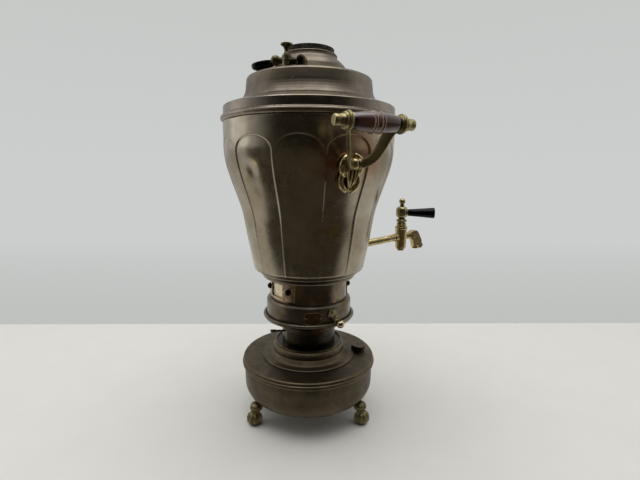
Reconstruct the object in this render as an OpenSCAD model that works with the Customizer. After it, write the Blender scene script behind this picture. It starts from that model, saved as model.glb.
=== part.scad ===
// Paraffin samovar: an oil tank with a round-wick burner on three paw feet, and
// a fluted water vessel with a flue, a tap and two handles that lifts off it.
// Millimetres. Origin on the table, on the upright axis. +Z up, tap towards -Y.

/* [Feet] */
// Height of the oil tank's underside above the table
foot_h = 33; // [30:1:36]
// Ball diameter of a paw
paw_d = 25; // [22:1:27]
// Width of the knee where a foot bears on the tank
knee_d = 20; // [18:1:21]
// Distance from a foot's centre in to the tank wall
foot_inset = 6.5; // [5:0.5:9]
// Turn of the rear foot from +X
foot_turn = 96; // [90:1:102]

/* [Oil tank] */
// Radius of the tank wall
tank_r = 101.5; // [98:0.5:106]
// Height of the tank side, underside to seam
tank_h = 61; // [56:1:66]
// Corner radius round the bottom of the tank
tank_corner_r = 24; // [20:1:28]
// Sheet thickness of the tank
tank_wall = 1.2; // [0.8:0.1:1.6]
// Radius of the rolled seam bead
seam_r = 4; // [3:0.5:5]
// Rise of the cover's flat above the seam
cover_rise = 3; // [2.6:0.1:4]
// Width of the cover's flat, from its raised step out to the wall
cover_flat_w = 29.5; // [28:0.5:31]
// Rise of the cover's neck above its flat
neck_rise = 20.6; // [18:0.2:23]
// Outer radius of the cover's neck
neck_r = 52.2; // [51:0.2:54]

/* [Filler] */
// Turn of the filler from +X
filler_turn = 249; // [240:1:258]
// Outer radius of the filler neck
filler_neck_r = 7.5; // [6.5:0.5:8.5]
// Height of the filler neck
filler_neck_h = 7; // [6.4:0.1:8]
// Radius of the filler cap
filler_cap_r = 11.5; // [11.2:0.1:12.5]
// Thickness of the cap's top
filler_cap_top = 2.5; // [2:0.1:4]

/* [Burner] */
// Radius of the burner body
burner_r = 42; // [41:0.5:44]
// Height of the burner body
burner_h = 29.4; // [28:0.2:32]
// Height of the perforated basket
basket_h = 14.2; // [12:0.2:16]
// Inner radius of the wick
wick_r = 13.1; // [12:0.1:14]
// Thickness of the wick
wick_t = 2.1; // [1.8:0.1:2.6]
// Distance of the wick's rim above the gallery plate
wick_rim = 13; // [10:1:16]
// Height of the wick spindle above the burner's floor
spindle_up = 22; // [19:0.2:22.4]
// Diameter of the wick spindle
spindle_d = 3; // [2.4:0.2:3.6]
// Distance from the axis to the spindle's tip
spindle_reach = 64; // [58:1:68]
// Turn of the spindle from +X
spindle_turn = 71; // [66:1:76]

/* [Gallery and drum] */
// Outer radius of the drum
drum_r = 59.6; // [59:0.1:60.5]
// Sheet thickness of the drum and the gallery
drum_wall = 1.2; // [0.8:0.1:1.5]
// Radius of the gallery skirt
skirt_r = 66; // [65:0.5:67]
// Height of the gallery skirt
skirt_h = 31.6; // [30:0.2:34]
// Radius of the round bead at the foot of the skirt
skirt_bead_r = 2.75; // [2:0.25:3.25]
// Height of drum that shows above the skirt
drum_show = 29.9; // [29.5:0.1:32]
// Turn of the rear window from +X
window_rear_turn = 103; // [98:1:108]
// Turn of the front window from +X
window_front_turn = 269; // [262:1:276]
// Width of a window
window_w = 28; // [24:1:32]
// Height of a window
window_h = 20; // [17:1:21]

/* [Latch] */
// Turn of the latch from +X
latch_turn = 187; // [182:1:192]
// Height of the latch pivot above the foot of the skirt
latch_up = 20; // [18:1:21]
// Length of the latch lever
latch_l = 16; // [15:0.5:18]
// Diameter of the latch ball
latch_ball_d = 12; // [10:0.5:13]

/* [Water vessel] */
// Outer radius at the foot of the vessel
foot_of_body_r = 84.5; // [83:0.5:87]
// Outer radius where the vessel starts to swell
waist_r = 98; // [95:0.5:101]
// Outer radius of the upper wall
body_r = 125; // [121:0.5:128]
// Height from the foot of the vessel to the swell
waist_h = 74; // [66:1:80]
// Height of the swell
swell_h = 102; // [92:1:110]
// Height of the upright wall above the swell
upright_h = 37; // [34:1:42]
// Thickness of the vessel wall at a ridge
body_wall = 2.4; // [2.2:0.1:3]
// Depth of the hammered groove beside a ridge
flute_depth = 1.2; // [0.6:0.1:1.4]
// Number of arched panels round the vessel
panels = 12; // [8:4:16]
// Distance from the top of an arch up to the rim
arch_drop = 19; // [15:1:24]
// Height of the stepped ring under the vessel
base_ring_h = 16.7; // [15:0.5:20]

/* [Rim and lid] */
// Height of the rim, its bead included
rim_h = 21; // [19:1:24]
// Rise of the ledge from the rim's edge in to the mouth
ledge_rise = 8; // [6:1:10]
// Radius of the mouth
mouth_r = 90; // [87:0.5:92]
// Height of the lid's side
lid_side_h = 30; // [26:1:34]
// Height of the lid's crown above its side
lid_crown_h = 35; // [32:1:38]
// Sheet thickness of the rim and the lid
lid_wall = 1.2; // [0.8:0.1:1.5]
// Diameter of a lid knob
knob_d = 32; // [28:1:34]
// Height of a lid knob
knob_h = 11; // [9:0.5:13]
// Distance of a lid knob from the axis
knob_at_r = 68; // [66:0.5:70]

/* [Flue] */
// Inner radius of the flue
flue_r = 31.5; // [29:0.5:32]
// Wall of the flue
flue_wall = 1.2; // [0.8:0.1:1.5]
// Height of the flue's cone over the flame
cone_h = 50; // [42:1:60]
// Height of collar that stands above the lid
collar_show = 9; // [8:0.5:13]
// Bore radius of the chimney collar
collar_bore_r = 33.8; // [33.4:0.1:34]
// Height of the collar's lip above the flue
collar_lip = 8; // [6:0.5:10]

/* [Steam vent] */
// Distance of the vent key from the axis
vent_at_r = 62; // [61:0.5:66]
// Turn of the vent key from +X
vent_turn = 127; // [122:1:132]
// Length of the vent pipe from the key to its mouth
vent_l = 21; // [18:1:24]
// Length of the vent pipe from the key to its ball
vent_tail = 16; // [14:1:18]
// Radius of the vent pipe
vent_pipe_r = 4.2; // [3.6:0.2:4.6]
// Height of the vent key above its boss
vent_key_h = 15; // [12:0.5:18]

/* [Handles] */
// Distance of a grip from the axis
grip_at_r = 177; // [170:1:184]
// Height of a grip below the top of the vessel wall
grip_below = 15; // [12:1:20]
// Length of a wooden grip
grip_l = 61; // [56:1:66]
// Grip radius at its ends
grip_end_r = 8.2; // [7:0.2:9]
// Grip radius at its middle
grip_mid_r = 12; // [11:0.5:13]
// Height of a grip above its root pin
arm_rise = 44; // [40:1:48]
// Width of an arm
arm_w = 15; // [13:0.5:16]
// Thickness of an arm
arm_t = 5; // [4:0.5:5.5]
// Radius of the eye at an arm's end
eye_r = 11.25; // [10:0.25:12]
// Radius of the tie rod through a grip
rod_r = 3; // [2.4:0.2:3.4]
// Radius of the end nuts
nut_r = 7; // [6:0.2:7.6]
// Length of the end nuts
nut_l = 15.5; // [13:0.5:17]
// Thickness of the shell-shaped root plate
root_t = 3.2; // [2.4:0.2:3.6]

/* [Tap] */
// Distance of the tap's upright axis from the samovar's axis
tap_at_r = 175; // [165:1:185]
// Height of the tap's bore above the foot of the vessel
tap_up = 34.5; // [30:0.5:38]
// Rise of the tap pipe, in degrees
tap_slope = 6; // [4:0.5:8]
// Outer radius of the tap pipe
pipe_r = 6; // [5.6:0.1:6.4]
// Bore radius of the tap
water_r = 4; // [3:0.2:4.2]
// Radius of the barrel at its top
barrel_r = 9.85; // [9.5:0.05:11]
// Height of the barrel
barrel_h = 37.5; // [34:0.5:42]
// Radius of the plug at the top of the barrel
plug_r = 7.2; // [6.8:0.1:7.6]
// Reach of the spout beyond the barrel's axis
spout_reach = 46; // [42:1:50]
// Width of the spout
spout_w = 13; // [12.5:0.5:15]
// Radius of the spout's mouth
mouth_bore_r = 4.8; // [4:0.2:5]
// Length of the tap lever
lever_l = 49; // [44:1:56]
// Diameter of the tap lever near its end
lever_d = 17.5; // [15:0.5:19]
// Turn of the lever from the pipe's line
lever_turn = -32; // [-60:1:0]

/* [Clearances] */
// Radial clearance of a turning fit
fit = 0.05; // [0.03:0.01:0.08]
// Gap between fixed pieces that are soldered or clipped together
seat = 0.2; // [0.1:0.05:0.3]
// Gap between pieces that slide past one another
slip = 0.4; // [0.3:0.1:0.6]

/* [Hidden] */
$fn = 96;

// Levels, from the table up
seam_z = foot_h + tank_h;
cover_z = seam_z + cover_rise;
neck_z = cover_z + neck_rise;
floor_t = 2.2;
deck_z = neck_z + burner_h;
plate_z = deck_z + basket_h;
skirt_z = plate_z + drum_wall;
skirt_top_z = skirt_z + skirt_h;
ring_z = skirt_top_z + drum_show;
body_z = ring_z + base_ring_h;
waist_z = body_z + waist_h;
shoulder_z = waist_z + swell_h;
top_z = shoulder_z + upright_h;
rim_z = top_z + rim_h;
mouth_z = rim_z + ledge_rise;
lid_side_z = mouth_z + lid_side_h;
crown_z = lid_side_z + lid_crown_h;
collar_z = crown_z + collar_show;

// Step of the tank's cover, and the filler that stands clear of it
cover_step_r = tank_r - cover_flat_w;
step_lip = 1.5;
filler_gap = 0.5;
filler_lift = 3;
filler_at_r = cover_step_r + step_lip + filler_neck_r + filler_gap;

// Wick, its tubes and the spindle that drives it
wick_out_r = wick_r + wick_t;
tube_wall = 0.8;
air_out_r = wick_r - 0.3;
wick_tube_r = wick_out_r + 0.3;
wick_z = skirt_z + wick_rim;
wick_foot_z = foot_h + 15;
wick_tube_z = foot_h + 33;
pinion_r = 4.4;
pinion_w = 6;
spindle_off = wick_out_r + pinion_r + 0.3;
spindle_z = neck_z + floor_t + spindle_up;
spindle_tip = sqrt(spindle_reach * spindle_reach - spindle_off * spindle_off);
gallery_collar_r = drum_r - drum_wall - slip;

// Windows
window_z = skirt_top_z + 6.6;
window_frame = 3.3;
stud_turn = 23;
stud_hole_r = 1.6;
stud_head_r = 4.6;
plate_t = 1;
plate_r = drum_r + seat + plate_t;
window_plate_w = 66;
mica_lap = 3.5;
mica_t = 0.5;
gallery_hole_r = 30;

// Vessel outline
floor_z = body_z + 0.5;
foot_slope = 0.22;
waist_slope = 0.15;
arch_z = top_z - arch_drop;
half_panel = body_r * sin(180 / panels);
groove_w = 2.2;
pillow_w = 14;

// Lid
lid_r = mouth_r + 8.5;
lid_top_r = mouth_r + 0.5;
crown_edge_r = lid_top_r - 4.5;
crown_edge_z = lid_side_z + 3.2;
crown_slope = 12;
crown_foot_r = 55;
crown_foot_z = crown_edge_z + (crown_edge_r - crown_foot_r) * tan(crown_slope);
collar_wall = 2.5;
collar_r = flue_r + flue_wall + seat + collar_wall;
lid_hole_r = collar_r + slip + 0.9;

// Handles
grip_z = top_z - grip_below;
root_z = grip_z - arm_rise;
root_r = vessel_r(root_z) + 5.7;
root_off = 6;
eye_t = 4;
ferrule_t = 2;
eye_y = grip_l / 2 + ferrule_t + eye_t / 2;
lug_half = 2.6;
pin_r = 2.5;
pin_l = 19;
pin_at_r = root_r + 6;
arm_reach = grip_at_r - pin_at_r;
splay = atan((eye_y - root_off) / arm_reach);
arm_span = norm([arm_reach, eye_y - root_off]);

// Tap
tap_z = body_z + tap_up;
barrel_top_z = tap_z + 18;
barrel_foot_z = barrel_top_z - barrel_h;
plug_foot_r = plug_r - 1.1;
hub_r = 10;
hub_z = barrel_top_z + 15;
hub_h = 19;
hub_top_z = hub_z + hub_h;
lever_z = hub_z + hub_h / 2 - 0.5;
stub_at = 14;
stub_r = pipe_r + 0.8;

// Latch
latch_z = skirt_z + latch_up;
latch_drop = 65;
latch_face = skirt_r + seat;
latch_t = 1.6;
plate_turn = latch_turn - 25.5;
plate_mid_z = skirt_z + 14.6;

// Cubic curve from p to q with the given slopes, at t of the way
function curve(p, q, slope_p, slope_q, span, t) =
    (2 * t * t * t - 3 * t * t + 1) * p + (t * t * t - 2 * t * t + t) * span * slope_p
    + (3 * t * t - 2 * t * t * t) * q + (t * t * t - t * t) * span * slope_q;

// Outer radius of the vessel at height z, ridges level with it
function vessel_r(z) =
    z <= waist_z ? curve(foot_of_body_r, waist_r, foot_slope, waist_slope, waist_h, (z - body_z) / waist_h)
    : z <= shoulder_z ? curve(waist_r, body_r, waist_slope, 0, swell_h, (z - waist_z) / swell_h)
    : body_r;

// Points of an arc, in degrees, in n steps
function arc(cx, cy, r, from, to, n) =
    [for (i = [0:n]) let (a = from + (to - from) * i / n) [cx + r * cos(a), cy + r * sin(a)]];

// Outline pushed by t to the left of its travel: the inner face of a sheet
function left_of(a, b) = let (d = (b - a) / norm(b - a)) [-d[1], d[0]];
function pushed(p, i, t) =
    let (last = len(p) - 1,
         m = i == 0 ? left_of(p[0], p[1])
             : i == last ? left_of(p[last - 1], p[last])
             : let (s = left_of(p[i - 1], p[i]) + left_of(p[i], p[i + 1])) s * 2 / (s * s))
    p[i] + t * m;

// Sheet of thickness t spun round the axis from its outer outline
module spun(p, t) {
    rotate_extrude() polygon(concat(p, [for (i = [len(p) - 1:-1:0]) pushed(p, i, t)]));
}

module tube(r_out, r_in, h) {
    difference() {
        cylinder(r = r_out, h = h);
        translate([0, 0, -1]) cylinder(r = r_in, h = h + 2);
    }
}

// Solid form of the vessel, grown by more, between two heights
module vessel_form(more, low, high) {
    steps = 10;
    rotate_extrude()
        polygon(concat([[0, low]],
                       [for (i = [0:steps]) let (z = low + (high - low) * i / steps) [vessel_r(z) + more, z]],
                       [[0, high]]));
}

// ---- Oil tank ----

tank_outline = concat([[air_out_r + 0.1, foot_h]],
                      arc(tank_r - tank_corner_r, foot_h + tank_corner_r, tank_corner_r, -90, 0, 8),
                      arc(tank_r, seam_z - seam_r - 1, seam_r, -80, 80, 8),
                      [[tank_r, seam_z]]);

module tank_bowl() {
    color("#3d332c") spun(tank_outline, tank_wall);
}

// The cover rises from its step in a hollow and turns in again under the burner
swell_r = neck_r + 4.6;
swell_z = cover_z + 10;
cover_outline = concat([[tank_r - 1.1, seam_z]],
                       arc(tank_r + 2.5 - cover_rise, seam_z, cover_rise, 0, 90, 5),
                       [[cover_step_r + step_lip, cover_z]],
                       arc(cover_step_r + step_lip - 2, cover_z + 0.6, 2, 0, 90, 4),
                       [for (t = [0.25:0.25:1])
                           [cover_step_r - 2 + (swell_r + 2 - cover_step_r) * t,
                            curve(cover_z + 2.6, swell_z, 0.05, 1.8, cover_step_r - 2 - swell_r, t)]],
                       [for (a = [18:18:72])
                           [swell_r + 6 * (cos(a) - 1), swell_z + (neck_z - 0.4 - swell_z) * sin(a)]],
                       [[swell_r - 6, neck_z], [burner_r - 4, neck_z]]);

module tank_cover() {
    color("#3a312a") difference() {
        spun(cover_outline, tank_wall);
        at_filler(cover_z - 5) cylinder(r = filler_neck_r - 2, h = 10);
    }
}

module paw_foot(turn) {
    paw_r = paw_d / 2;
    squat = 0.88;
    paw_at_r = tank_r - foot_inset;
    knee_z = foot_h - 4;
    color("#7a6a3a") rotate([0, 0, turn]) difference() {
        union() {
            translate([paw_at_r, 0, squat * paw_r - 0.6]) scale([1, 1, squat]) sphere(r = paw_r);
            for (toe = [-60:30:60])
                translate([paw_at_r, 0, 3.8]) rotate([0, 0, toe]) translate([paw_r * 0.56, 0, 0]) sphere(r = 3.8);
            translate([paw_at_r - 1, 0, paw_r]) cylinder(r1 = paw_r * 0.65, r2 = knee_d * 0.3, h = knee_z - paw_r);
            translate([paw_at_r - 3, 0, knee_z]) scale([1, 1, 0.68]) sphere(r = knee_d / 2);
            translate([paw_at_r - 10, 0, knee_z - 3]) cylinder(r = knee_d * 0.34, h = 16);
        }
        translate([0, 0, -20]) cylinder(r = tank_r + 50, h = 20);
        rotate([0, 0, -turn]) rotate_extrude() polygon(concat([[0, foot_h]], tank_outline, [[0, seam_z]]));
    }
}

module paw_foot_rear() { paw_foot(foot_turn); }
module paw_foot_left() { paw_foot(foot_turn + 120); }
module paw_foot_right() { paw_foot(foot_turn + 240); }

module at_filler(z) {
    rotate([0, 0, filler_turn]) translate([filler_at_r, 0, z]) children();
}

module filler_neck() {
    color("#5c4f3a") at_filler(cover_z) tube(filler_neck_r, filler_neck_r - 1.5, filler_neck_h);
}

module filler_cap() {
    skirt = filler_neck_h - filler_lift;
    color("#3a3128") at_filler(cover_z + filler_lift) difference() {
        rotate_extrude()
            polygon([[0, 0], [filler_cap_r, 0], [filler_cap_r, skirt + filler_cap_top - 1],
                     [filler_cap_r - 1, skirt + filler_cap_top], [0, skirt + filler_cap_top]]);
        translate([0, 0, -1]) cylinder(r = filler_neck_r + 0.3, h = skirt + 1);
        for (i = [0:23]) rotate([0, 0, 15 * i]) translate([filler_cap_r + 0.4, 0, -1])
            cylinder(r = 0.9, h = skirt + filler_cap_top + 2);
    }
}

// ---- Burner ----

module on_spindle() {
    rotate([0, 0, spindle_turn]) translate([0, spindle_off, spindle_z]) rotate([0, 90, 0]) children();
}

module burner_base() {
    color("#3f3831") difference() {
        union() {
            translate([0, 0, neck_z]) cylinder(r = neck_r + 1, h = floor_t / 2);
            translate([0, 0, neck_z]) tube(neck_r + 1, neck_r - 0.7, 3);
            translate([0, 0, neck_z]) cylinder(r = burner_r, h = burner_h);
            translate([0, 0, deck_z - 3.6]) rotate_extrude() translate([burner_r - 0.4, 0]) circle(r = 2);
        }
        translate([0, 0, neck_z + floor_t]) cylinder(r = burner_r - 1.2, h = burner_h - floor_t - 1.2);
        translate([0, 0, deck_z - 3]) cylinder(r = burner_r - 6.5, h = 5);
        translate([0, 0, neck_z - 1]) cylinder(r = wick_tube_r + tube_wall + seat, h = 5);
        on_spindle() translate([0, 0, 30]) cylinder(r = spindle_d / 2 + fit, h = 30);
    }
}

module wick_tube() {
    color("#8a7440") difference() {
        union() {
            translate([0, 0, wick_tube_z]) cylinder(r = wick_tube_r + tube_wall, h = wick_z - wick_tube_z);
            translate([0, 0, neck_z + floor_t]) cylinder(r = wick_tube_r + 2.4, h = 2);
        }
        translate([0, 0, foot_h]) cylinder(r = wick_tube_r, h = wick_z);
        rotate([0, 0, spindle_turn]) translate([-pinion_w / 2 - 1, wick_tube_r - 2, spindle_z - pinion_r - 1])
            cube([pinion_w + 2, 8, 2 * pinion_r + 2]);
    }
}

module air_tube() {
    color("#8a7440") {
        translate([0, 0, foot_h]) tube(air_out_r, air_out_r - tube_wall, wick_z - foot_h);
        translate([0, 0, foot_h + tank_wall]) tube(air_out_r + 4, air_out_r - 0.3, 1.5);
    }
}

module spindle_bearing() {
    bar_z = neck_z + floor_t;
    color("#8a7440") difference() {
        rotate([0, 0, spindle_turn]) translate([-pinion_w / 2 - 9, spindle_off - 3, bar_z])
            cube([3, 6, spindle_z - bar_z + 5]);
        on_spindle() translate([0, 0, -30]) cylinder(r = spindle_d / 2 + fit, h = 30);
    }
}

module burner_basket() {
    color("#221e1b") translate([0, 0, deck_z]) difference() {
        tube(burner_r - 4.5, burner_r - 5.5, basket_h);
        for (i = [0:23]) rotate([0, 0, 15 * i]) translate([burner_r - 8, 0, basket_h / 2])
            rotate([0, 90, 0]) cylinder(r = 1.8, h = 8);
    }
}

module gallery_plate() {
    color("#3f3831") translate([0, 0, plate_z]) {
        tube(skirt_r + 3.5, gallery_hole_r, drum_wall);
        tube(gallery_collar_r, gallery_collar_r - 1, drum_wall + 15);
    }
}

module flame_spreader() {
    thimble_r = air_out_r - tube_wall - 0.4;
    color("#6e5c34") translate([0, 0, wick_z]) difference() {
        union() {
            translate([0, 0, -10]) cylinder(r = thimble_r, h = 17);
            cylinder(r = air_out_r - 0.2, h = 0.8);
            translate([0, 0, 6]) cylinder(r = wick_out_r + 1, h = 1.5);
        }
        translate([0, 0, -11]) cylinder(r = thimble_r - 1, h = 16);
    }
}

module wick() {
    color("#d8cfb8") translate([0, 0, wick_foot_z]) tube(wick_out_r, wick_r, wick_z - wick_foot_z);
}

module wick_spindle() {
    grip_l = 8;
    color("#241f1b") on_spindle() {
        translate([0, 0, -pinion_w / 2 - 11]) cylinder(d = spindle_d, h = spindle_tip + pinion_w / 2 + 11);
        translate([0, 0, spindle_tip - grip_l]) cylinder(d = spindle_d + 1.4, h = grip_l);
    }
}

module spindle_pinion() {
    teeth = 12;
    color("#8a7440") on_spindle() translate([0, 0, -pinion_w / 2]) difference() {
        linear_extrude(pinion_w)
            polygon([for (i = [0:2 * teeth - 1]) let (r = i % 2 == 0 ? pinion_r : pinion_r - 1.1)
                     [r * cos(180 * i / teeth), r * sin(180 * i / teeth)]]);
        translate([0, 0, -1]) cylinder(r = spindle_d / 2 + fit, h = pinion_w + 2);
    }
}

// ---- Gallery, latch and drum ----

module gallery_skirt() {
    color("#4a4038") {
        spun(concat([[skirt_r + 0.8, skirt_z], [skirt_r + 0.8, skirt_z + 1], [skirt_r, skirt_z + 9]],
                    arc(skirt_r - 6.4, skirt_top_z - 6.4, 6.4, 0, 84, 6),
                    [[drum_r + seat, skirt_top_z]]), drum_wall);
        rotate_extrude() translate([skirt_r + skirt_bead_r, skirt_z + skirt_bead_r]) circle(r = skirt_bead_r);
    }
}

module oval_plate() {
    r = skirt_r + seat;
    color("#8a7a5c") intersection() {
        rotate_extrude() polygon([[r + 0.5, skirt_z + 4], [r + 1.35, skirt_z + 4], [r + 0.85, skirt_z + 9],
                                  [r + 0.85, skirt_z + 25], [r, skirt_z + 25], [r, skirt_z + 9]]);
        rotate([0, 0, plate_turn]) translate([0, 0, plate_mid_z]) rotate([90, 0, 90]) linear_extrude(100)
            hull() for (x = [-1, 1]) for (y = [-1, 1]) translate([x * 7, y * 2.5]) circle(r = 6.5, $fn = 48);
    }
}

module plate_rivets() {
    color("#b09a62") for (side = [-1, 1])
        rotate([0, 0, plate_turn + side * 9.2]) translate([skirt_r + seat + 0.95, 0, plate_mid_z]) rotate([0, 90, 0])
            rotate_extrude() polygon(concat([[0, 0]], arc(0, 0, 1.1, 0, 90, 6)));
}

module on_latch() {
    rotate([0, 0, latch_turn]) translate([latch_face, 0, latch_z]) rotate([0, 90, 0]) rotate([0, 0, 90]) children();
}

module latch_bracket() {
    color("#7d6b3c") difference() {
        on_latch() linear_extrude(1.4) polygon([[-9, -5], [9, -5], [5, 6], [-5, 6]]);
        on_latch() translate([0, 0, -3]) cylinder(r = 1.5 + 0.02, h = 9);
    }
}

module latch_pin() {
    color("#b09a62") on_latch() {
        cylinder(r = 1.5, h = 4);
        translate([0, 0, 2 * latch_t + 0.3]) cylinder(r = 3, h = 1.4);
    }
}

// Flat lever, stepped outwards to pass the bead at the foot of the skirt
latch_tip = latch_l * [cos(latch_drop), -sin(latch_drop)];
latch_step_z = skirt_bead_r + 2.9;

module latch_blade(from, to, w_from, w_to) {
    side = [-latch_tip[1], latch_tip[0]] / latch_l;
    polygon([from * latch_tip + w_from * side, from * latch_tip - w_from * side,
             to * latch_tip - w_to * side, to * latch_tip + w_to * side]);
}

module latch_lever() {
    color("#a58d4f") on_latch() difference() {
        union() {
            translate([0, 0, latch_t]) linear_extrude(latch_t) latch_blade(-0.25, 0.42, 6, 4.4);
            translate([0, 0, latch_t]) linear_extrude(latch_step_z) latch_blade(0.3, 0.42, 4.6, 4.4);
            translate([0, 0, latch_step_z]) linear_extrude(latch_t) latch_blade(0.3, 1.08, 4.6, 2.4);
            translate([latch_tip[0], latch_tip[1], latch_step_z]) cylinder(r = 2, h = 5.2);
        }
        cylinder(r = 1.5 + fit, h = 9);
    }
}

module latch_ball() {
    z = latch_step_z + latch_t + 0.1;
    color("#c9ad62") on_latch() translate([latch_tip[0], latch_tip[1], 0]) difference() {
        translate([0, 0, z + latch_ball_d / 2 - 1.5]) sphere(d = latch_ball_d);
        translate([0, 0, z - 10]) cylinder(r = latch_ball_d, h = 10);
        cylinder(r = 2.05, h = latch_step_z + 5.4);
    }
}

module at_windows() {
    for (turn = [window_rear_turn, window_front_turn]) rotate([0, 0, turn]) children();
}

module at_studs() {
    at_windows() for (side = [-1, 1]) rotate([0, 0, side * stud_turn])
        translate([0, 0, window_z + window_h / 2 + 1]) rotate([0, 90, 0]) children();
}

module drum() {
    color("#3b3733") difference() {
        translate([0, 0, skirt_z + 3]) tube(drum_r, drum_r - drum_wall, floor_z - skirt_z - 3);
        at_windows() translate([drum_r / 2, -window_w / 2, window_z]) cube([drum_r, window_w, window_h]);
        at_studs() translate([0, 0, drum_r / 2]) cylinder(r = stud_hole_r, h = drum_r);
    }
}

module window_plates() {
    h = window_h + 2 * window_frame;
    color("#6d5a4c") difference() {
        intersection() {
            translate([0, 0, window_z - window_frame]) tube(plate_r, drum_r + seat, h);
            at_windows() translate([drum_r / 2, -window_plate_w / 2, 0]) cube([drum_r, window_plate_w, body_z]);
        }
        at_windows() translate([drum_r / 2, -window_w / 2, window_z]) cube([drum_r, window_w, window_h]);
        at_studs() translate([0, 0, drum_r / 2]) cylinder(r = stud_hole_r, h = drum_r);
    }
}

module mica_panes() {
    color("#e8e2b8") intersection() {
        translate([0, 0, window_z - mica_lap])
            tube(drum_r - drum_wall - 0.3, drum_r - drum_wall - 0.3 - mica_t, window_h + 2 * mica_lap);
        at_windows() translate([drum_r / 2, -window_w / 2 - mica_lap, 0]) cube([drum_r, window_w + 2 * mica_lap, body_z]);
    }
}

module window_studs() {
    color("#15130f") at_studs() {
        translate([0, 0, drum_r - drum_wall - 2.2]) cylinder(r = 2.6, h = 2);
        translate([0, 0, drum_r - drum_wall - 1]) cylinder(r = 1.5, h = plate_r - drum_r + drum_wall + 2);
        translate([0, 0, plate_r]) rotate_extrude()
            polygon(concat([[0, 0]], arc(0, 0, stud_head_r, 0, 90, 8)));
    }
}

// ---- Water vessel ----

module base_ring() {
    z = ring_z;
    r = foot_of_body_r - 7.5;
    color("#5a4e43") spun(concat([[drum_r + seat, z], [drum_r + 2.9, z]],
                                 arc(drum_r + 8.6, z + 5.2, 3.6, -80, 50, 7),
                                 [[r - 6.4, z + 8.9], [r - 1.4, z + 9.4], [r, z + 10.6], [r + 0.3, z + 12.6],
                                  [r - 0.5, z + 14.4], [r, body_z - drum_wall], [r + 6.8, body_z - drum_wall]]),
                          drum_wall);
}

// Depth of the groove beside ridges, at u across a panel (-1 to 1) and height z
function arch_top(u) = arch_z - half_panel * (1 - sqrt(max(0, 1 - u * u)));
function groove(u, z) =
    let (d = min((1 - abs(u)) * half_panel, arch_top(u) - z))
    d <= 0.01 ? 0 : d <= groove_w ? flute_depth
    : flute_depth * pow(max(0, 1 - (d - groove_w) / pillow_w), 2);

module body_shell() {
    across = [-1, -0.93, -0.7, -0.35, 0, 0.35, 0.7, 0.93];
    low_rows = 10;
    inner_rows = 12;
    n = panels * len(across);
    grid_u = [for (k = [0:panels - 1]) each across];
    grid_a = [for (k = [0:panels - 1]) for (u = across) 360 / panels * (k + u / 2)];
    rows = [for (i = [0:n - 1]) let (a = arch_top(grid_u[i]), foot = a - 24 - body_z)
            concat([for (k = [0:low_rows]) body_z + foot * k / low_rows],
                   [a - 12, a - groove_w, a, (a + top_z) / 2, top_z])];
    outer_rows = len(rows[0]);
    outer = [for (j = [0:outer_rows - 1]) for (i = [0:n - 1])
             let (z = rows[i][j], r = vessel_r(z) - groove(grid_u[i], z))
             [r * cos(grid_a[i]), r * sin(grid_a[i]), z]];
    inner = [for (j = [0:inner_rows]) for (i = [0:n - 1])
             let (z = body_z + (top_z - body_z) * j / inner_rows, r = vessel_r(z) - body_wall)
             [r * cos(grid_a[i]), r * sin(grid_a[i]), z]];
    first = len(outer);
    last_out = (outer_rows - 1) * n;
    last_in = first + inner_rows * n;
    faces = concat(
        [for (j = [0:outer_rows - 2]) for (i = [0:n - 1]) let (k = (i + 1) % n)
            each [[j * n + i, (j + 1) * n + i, (j + 1) * n + k], [j * n + i, (j + 1) * n + k, j * n + k]]],
        [for (j = [0:inner_rows - 1]) for (i = [0:n - 1]) let (k = (i + 1) % n, b = first + j * n, t = b + n)
            each [[b + i, t + k, t + i], [b + i, b + k, t + k]]],
        [for (i = [0:n - 1]) let (k = (i + 1) % n)
            each [[last_out + i, last_in + i, last_in + k], [last_out + i, last_in + k, last_out + k]]],
        [for (i = [0:n - 1]) let (k = (i + 1) % n)
            each [[i, first + k, first + i], [i, k, first + k]]]);
    color("#6b6056") difference() {
        polyhedron(points = concat(outer, inner), faces = faces);
        on_pipe() translate([0, 0, 60]) cylinder(r = pipe_r + seat, h = 60);
    }
}

module vessel_floor() {
    color("#8d8478") translate([0, 0, floor_z])
        tube(vessel_r(floor_z) - body_wall - 0.3, drum_r - drum_wall - 1.4, 1.2);
}

module flue_cone() {
    z = floor_z + 1.2;
    r = drum_r - 1.1;
    color("#5a4a3e") spun([[r, z], [r, z + 3], [flue_r + flue_wall + 9, z + cone_h - 14],
                           [flue_r + flue_wall, z + cone_h - 3], [flue_r + flue_wall, z + cone_h]], flue_wall);
}

flue_z = floor_z + 1.2 + cone_h;
flue_top_z = collar_z - collar_lip;

module flue_tube() {
    color("#5a4a3e") translate([0, 0, flue_z]) tube(flue_r + flue_wall, flue_r, flue_top_z - flue_z);
}

module chimney_collar() {
    color("#1c1916") difference() {
        translate([0, 0, crown_z - 18]) cylinder(r = collar_r, h = collar_z - crown_z + 18);
        translate([0, 0, crown_z - 19]) cylinder(r = flue_r + flue_wall + seat, h = flue_top_z - crown_z + 20);
        translate([0, 0, flue_top_z]) cylinder(r = collar_bore_r, h = collar_lip + 1);
    }
}

module rim_band() {
    bead_r = 4.3;
    ledge_r = lid_r + 0.5;
    color("#665c52") spun(concat([[body_r - body_wall, top_z]],
                                 arc(body_r - 1, top_z + bead_r, bead_r, -90, 76, 10),
                                 [[body_r - 0.6, top_z + 2 * bead_r + 0.6], [body_r - 0.8, rim_z - 1.2],
                                  [body_r - 2, rim_z], [ledge_r + 10, mouth_z - 3], [ledge_r, mouth_z],
                                  [mouth_r, mouth_z]]), lid_wall);
}

// ---- Handles ----

module on_handle(turn) {
    rotate([0, 0, turn]) children();
}

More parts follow.
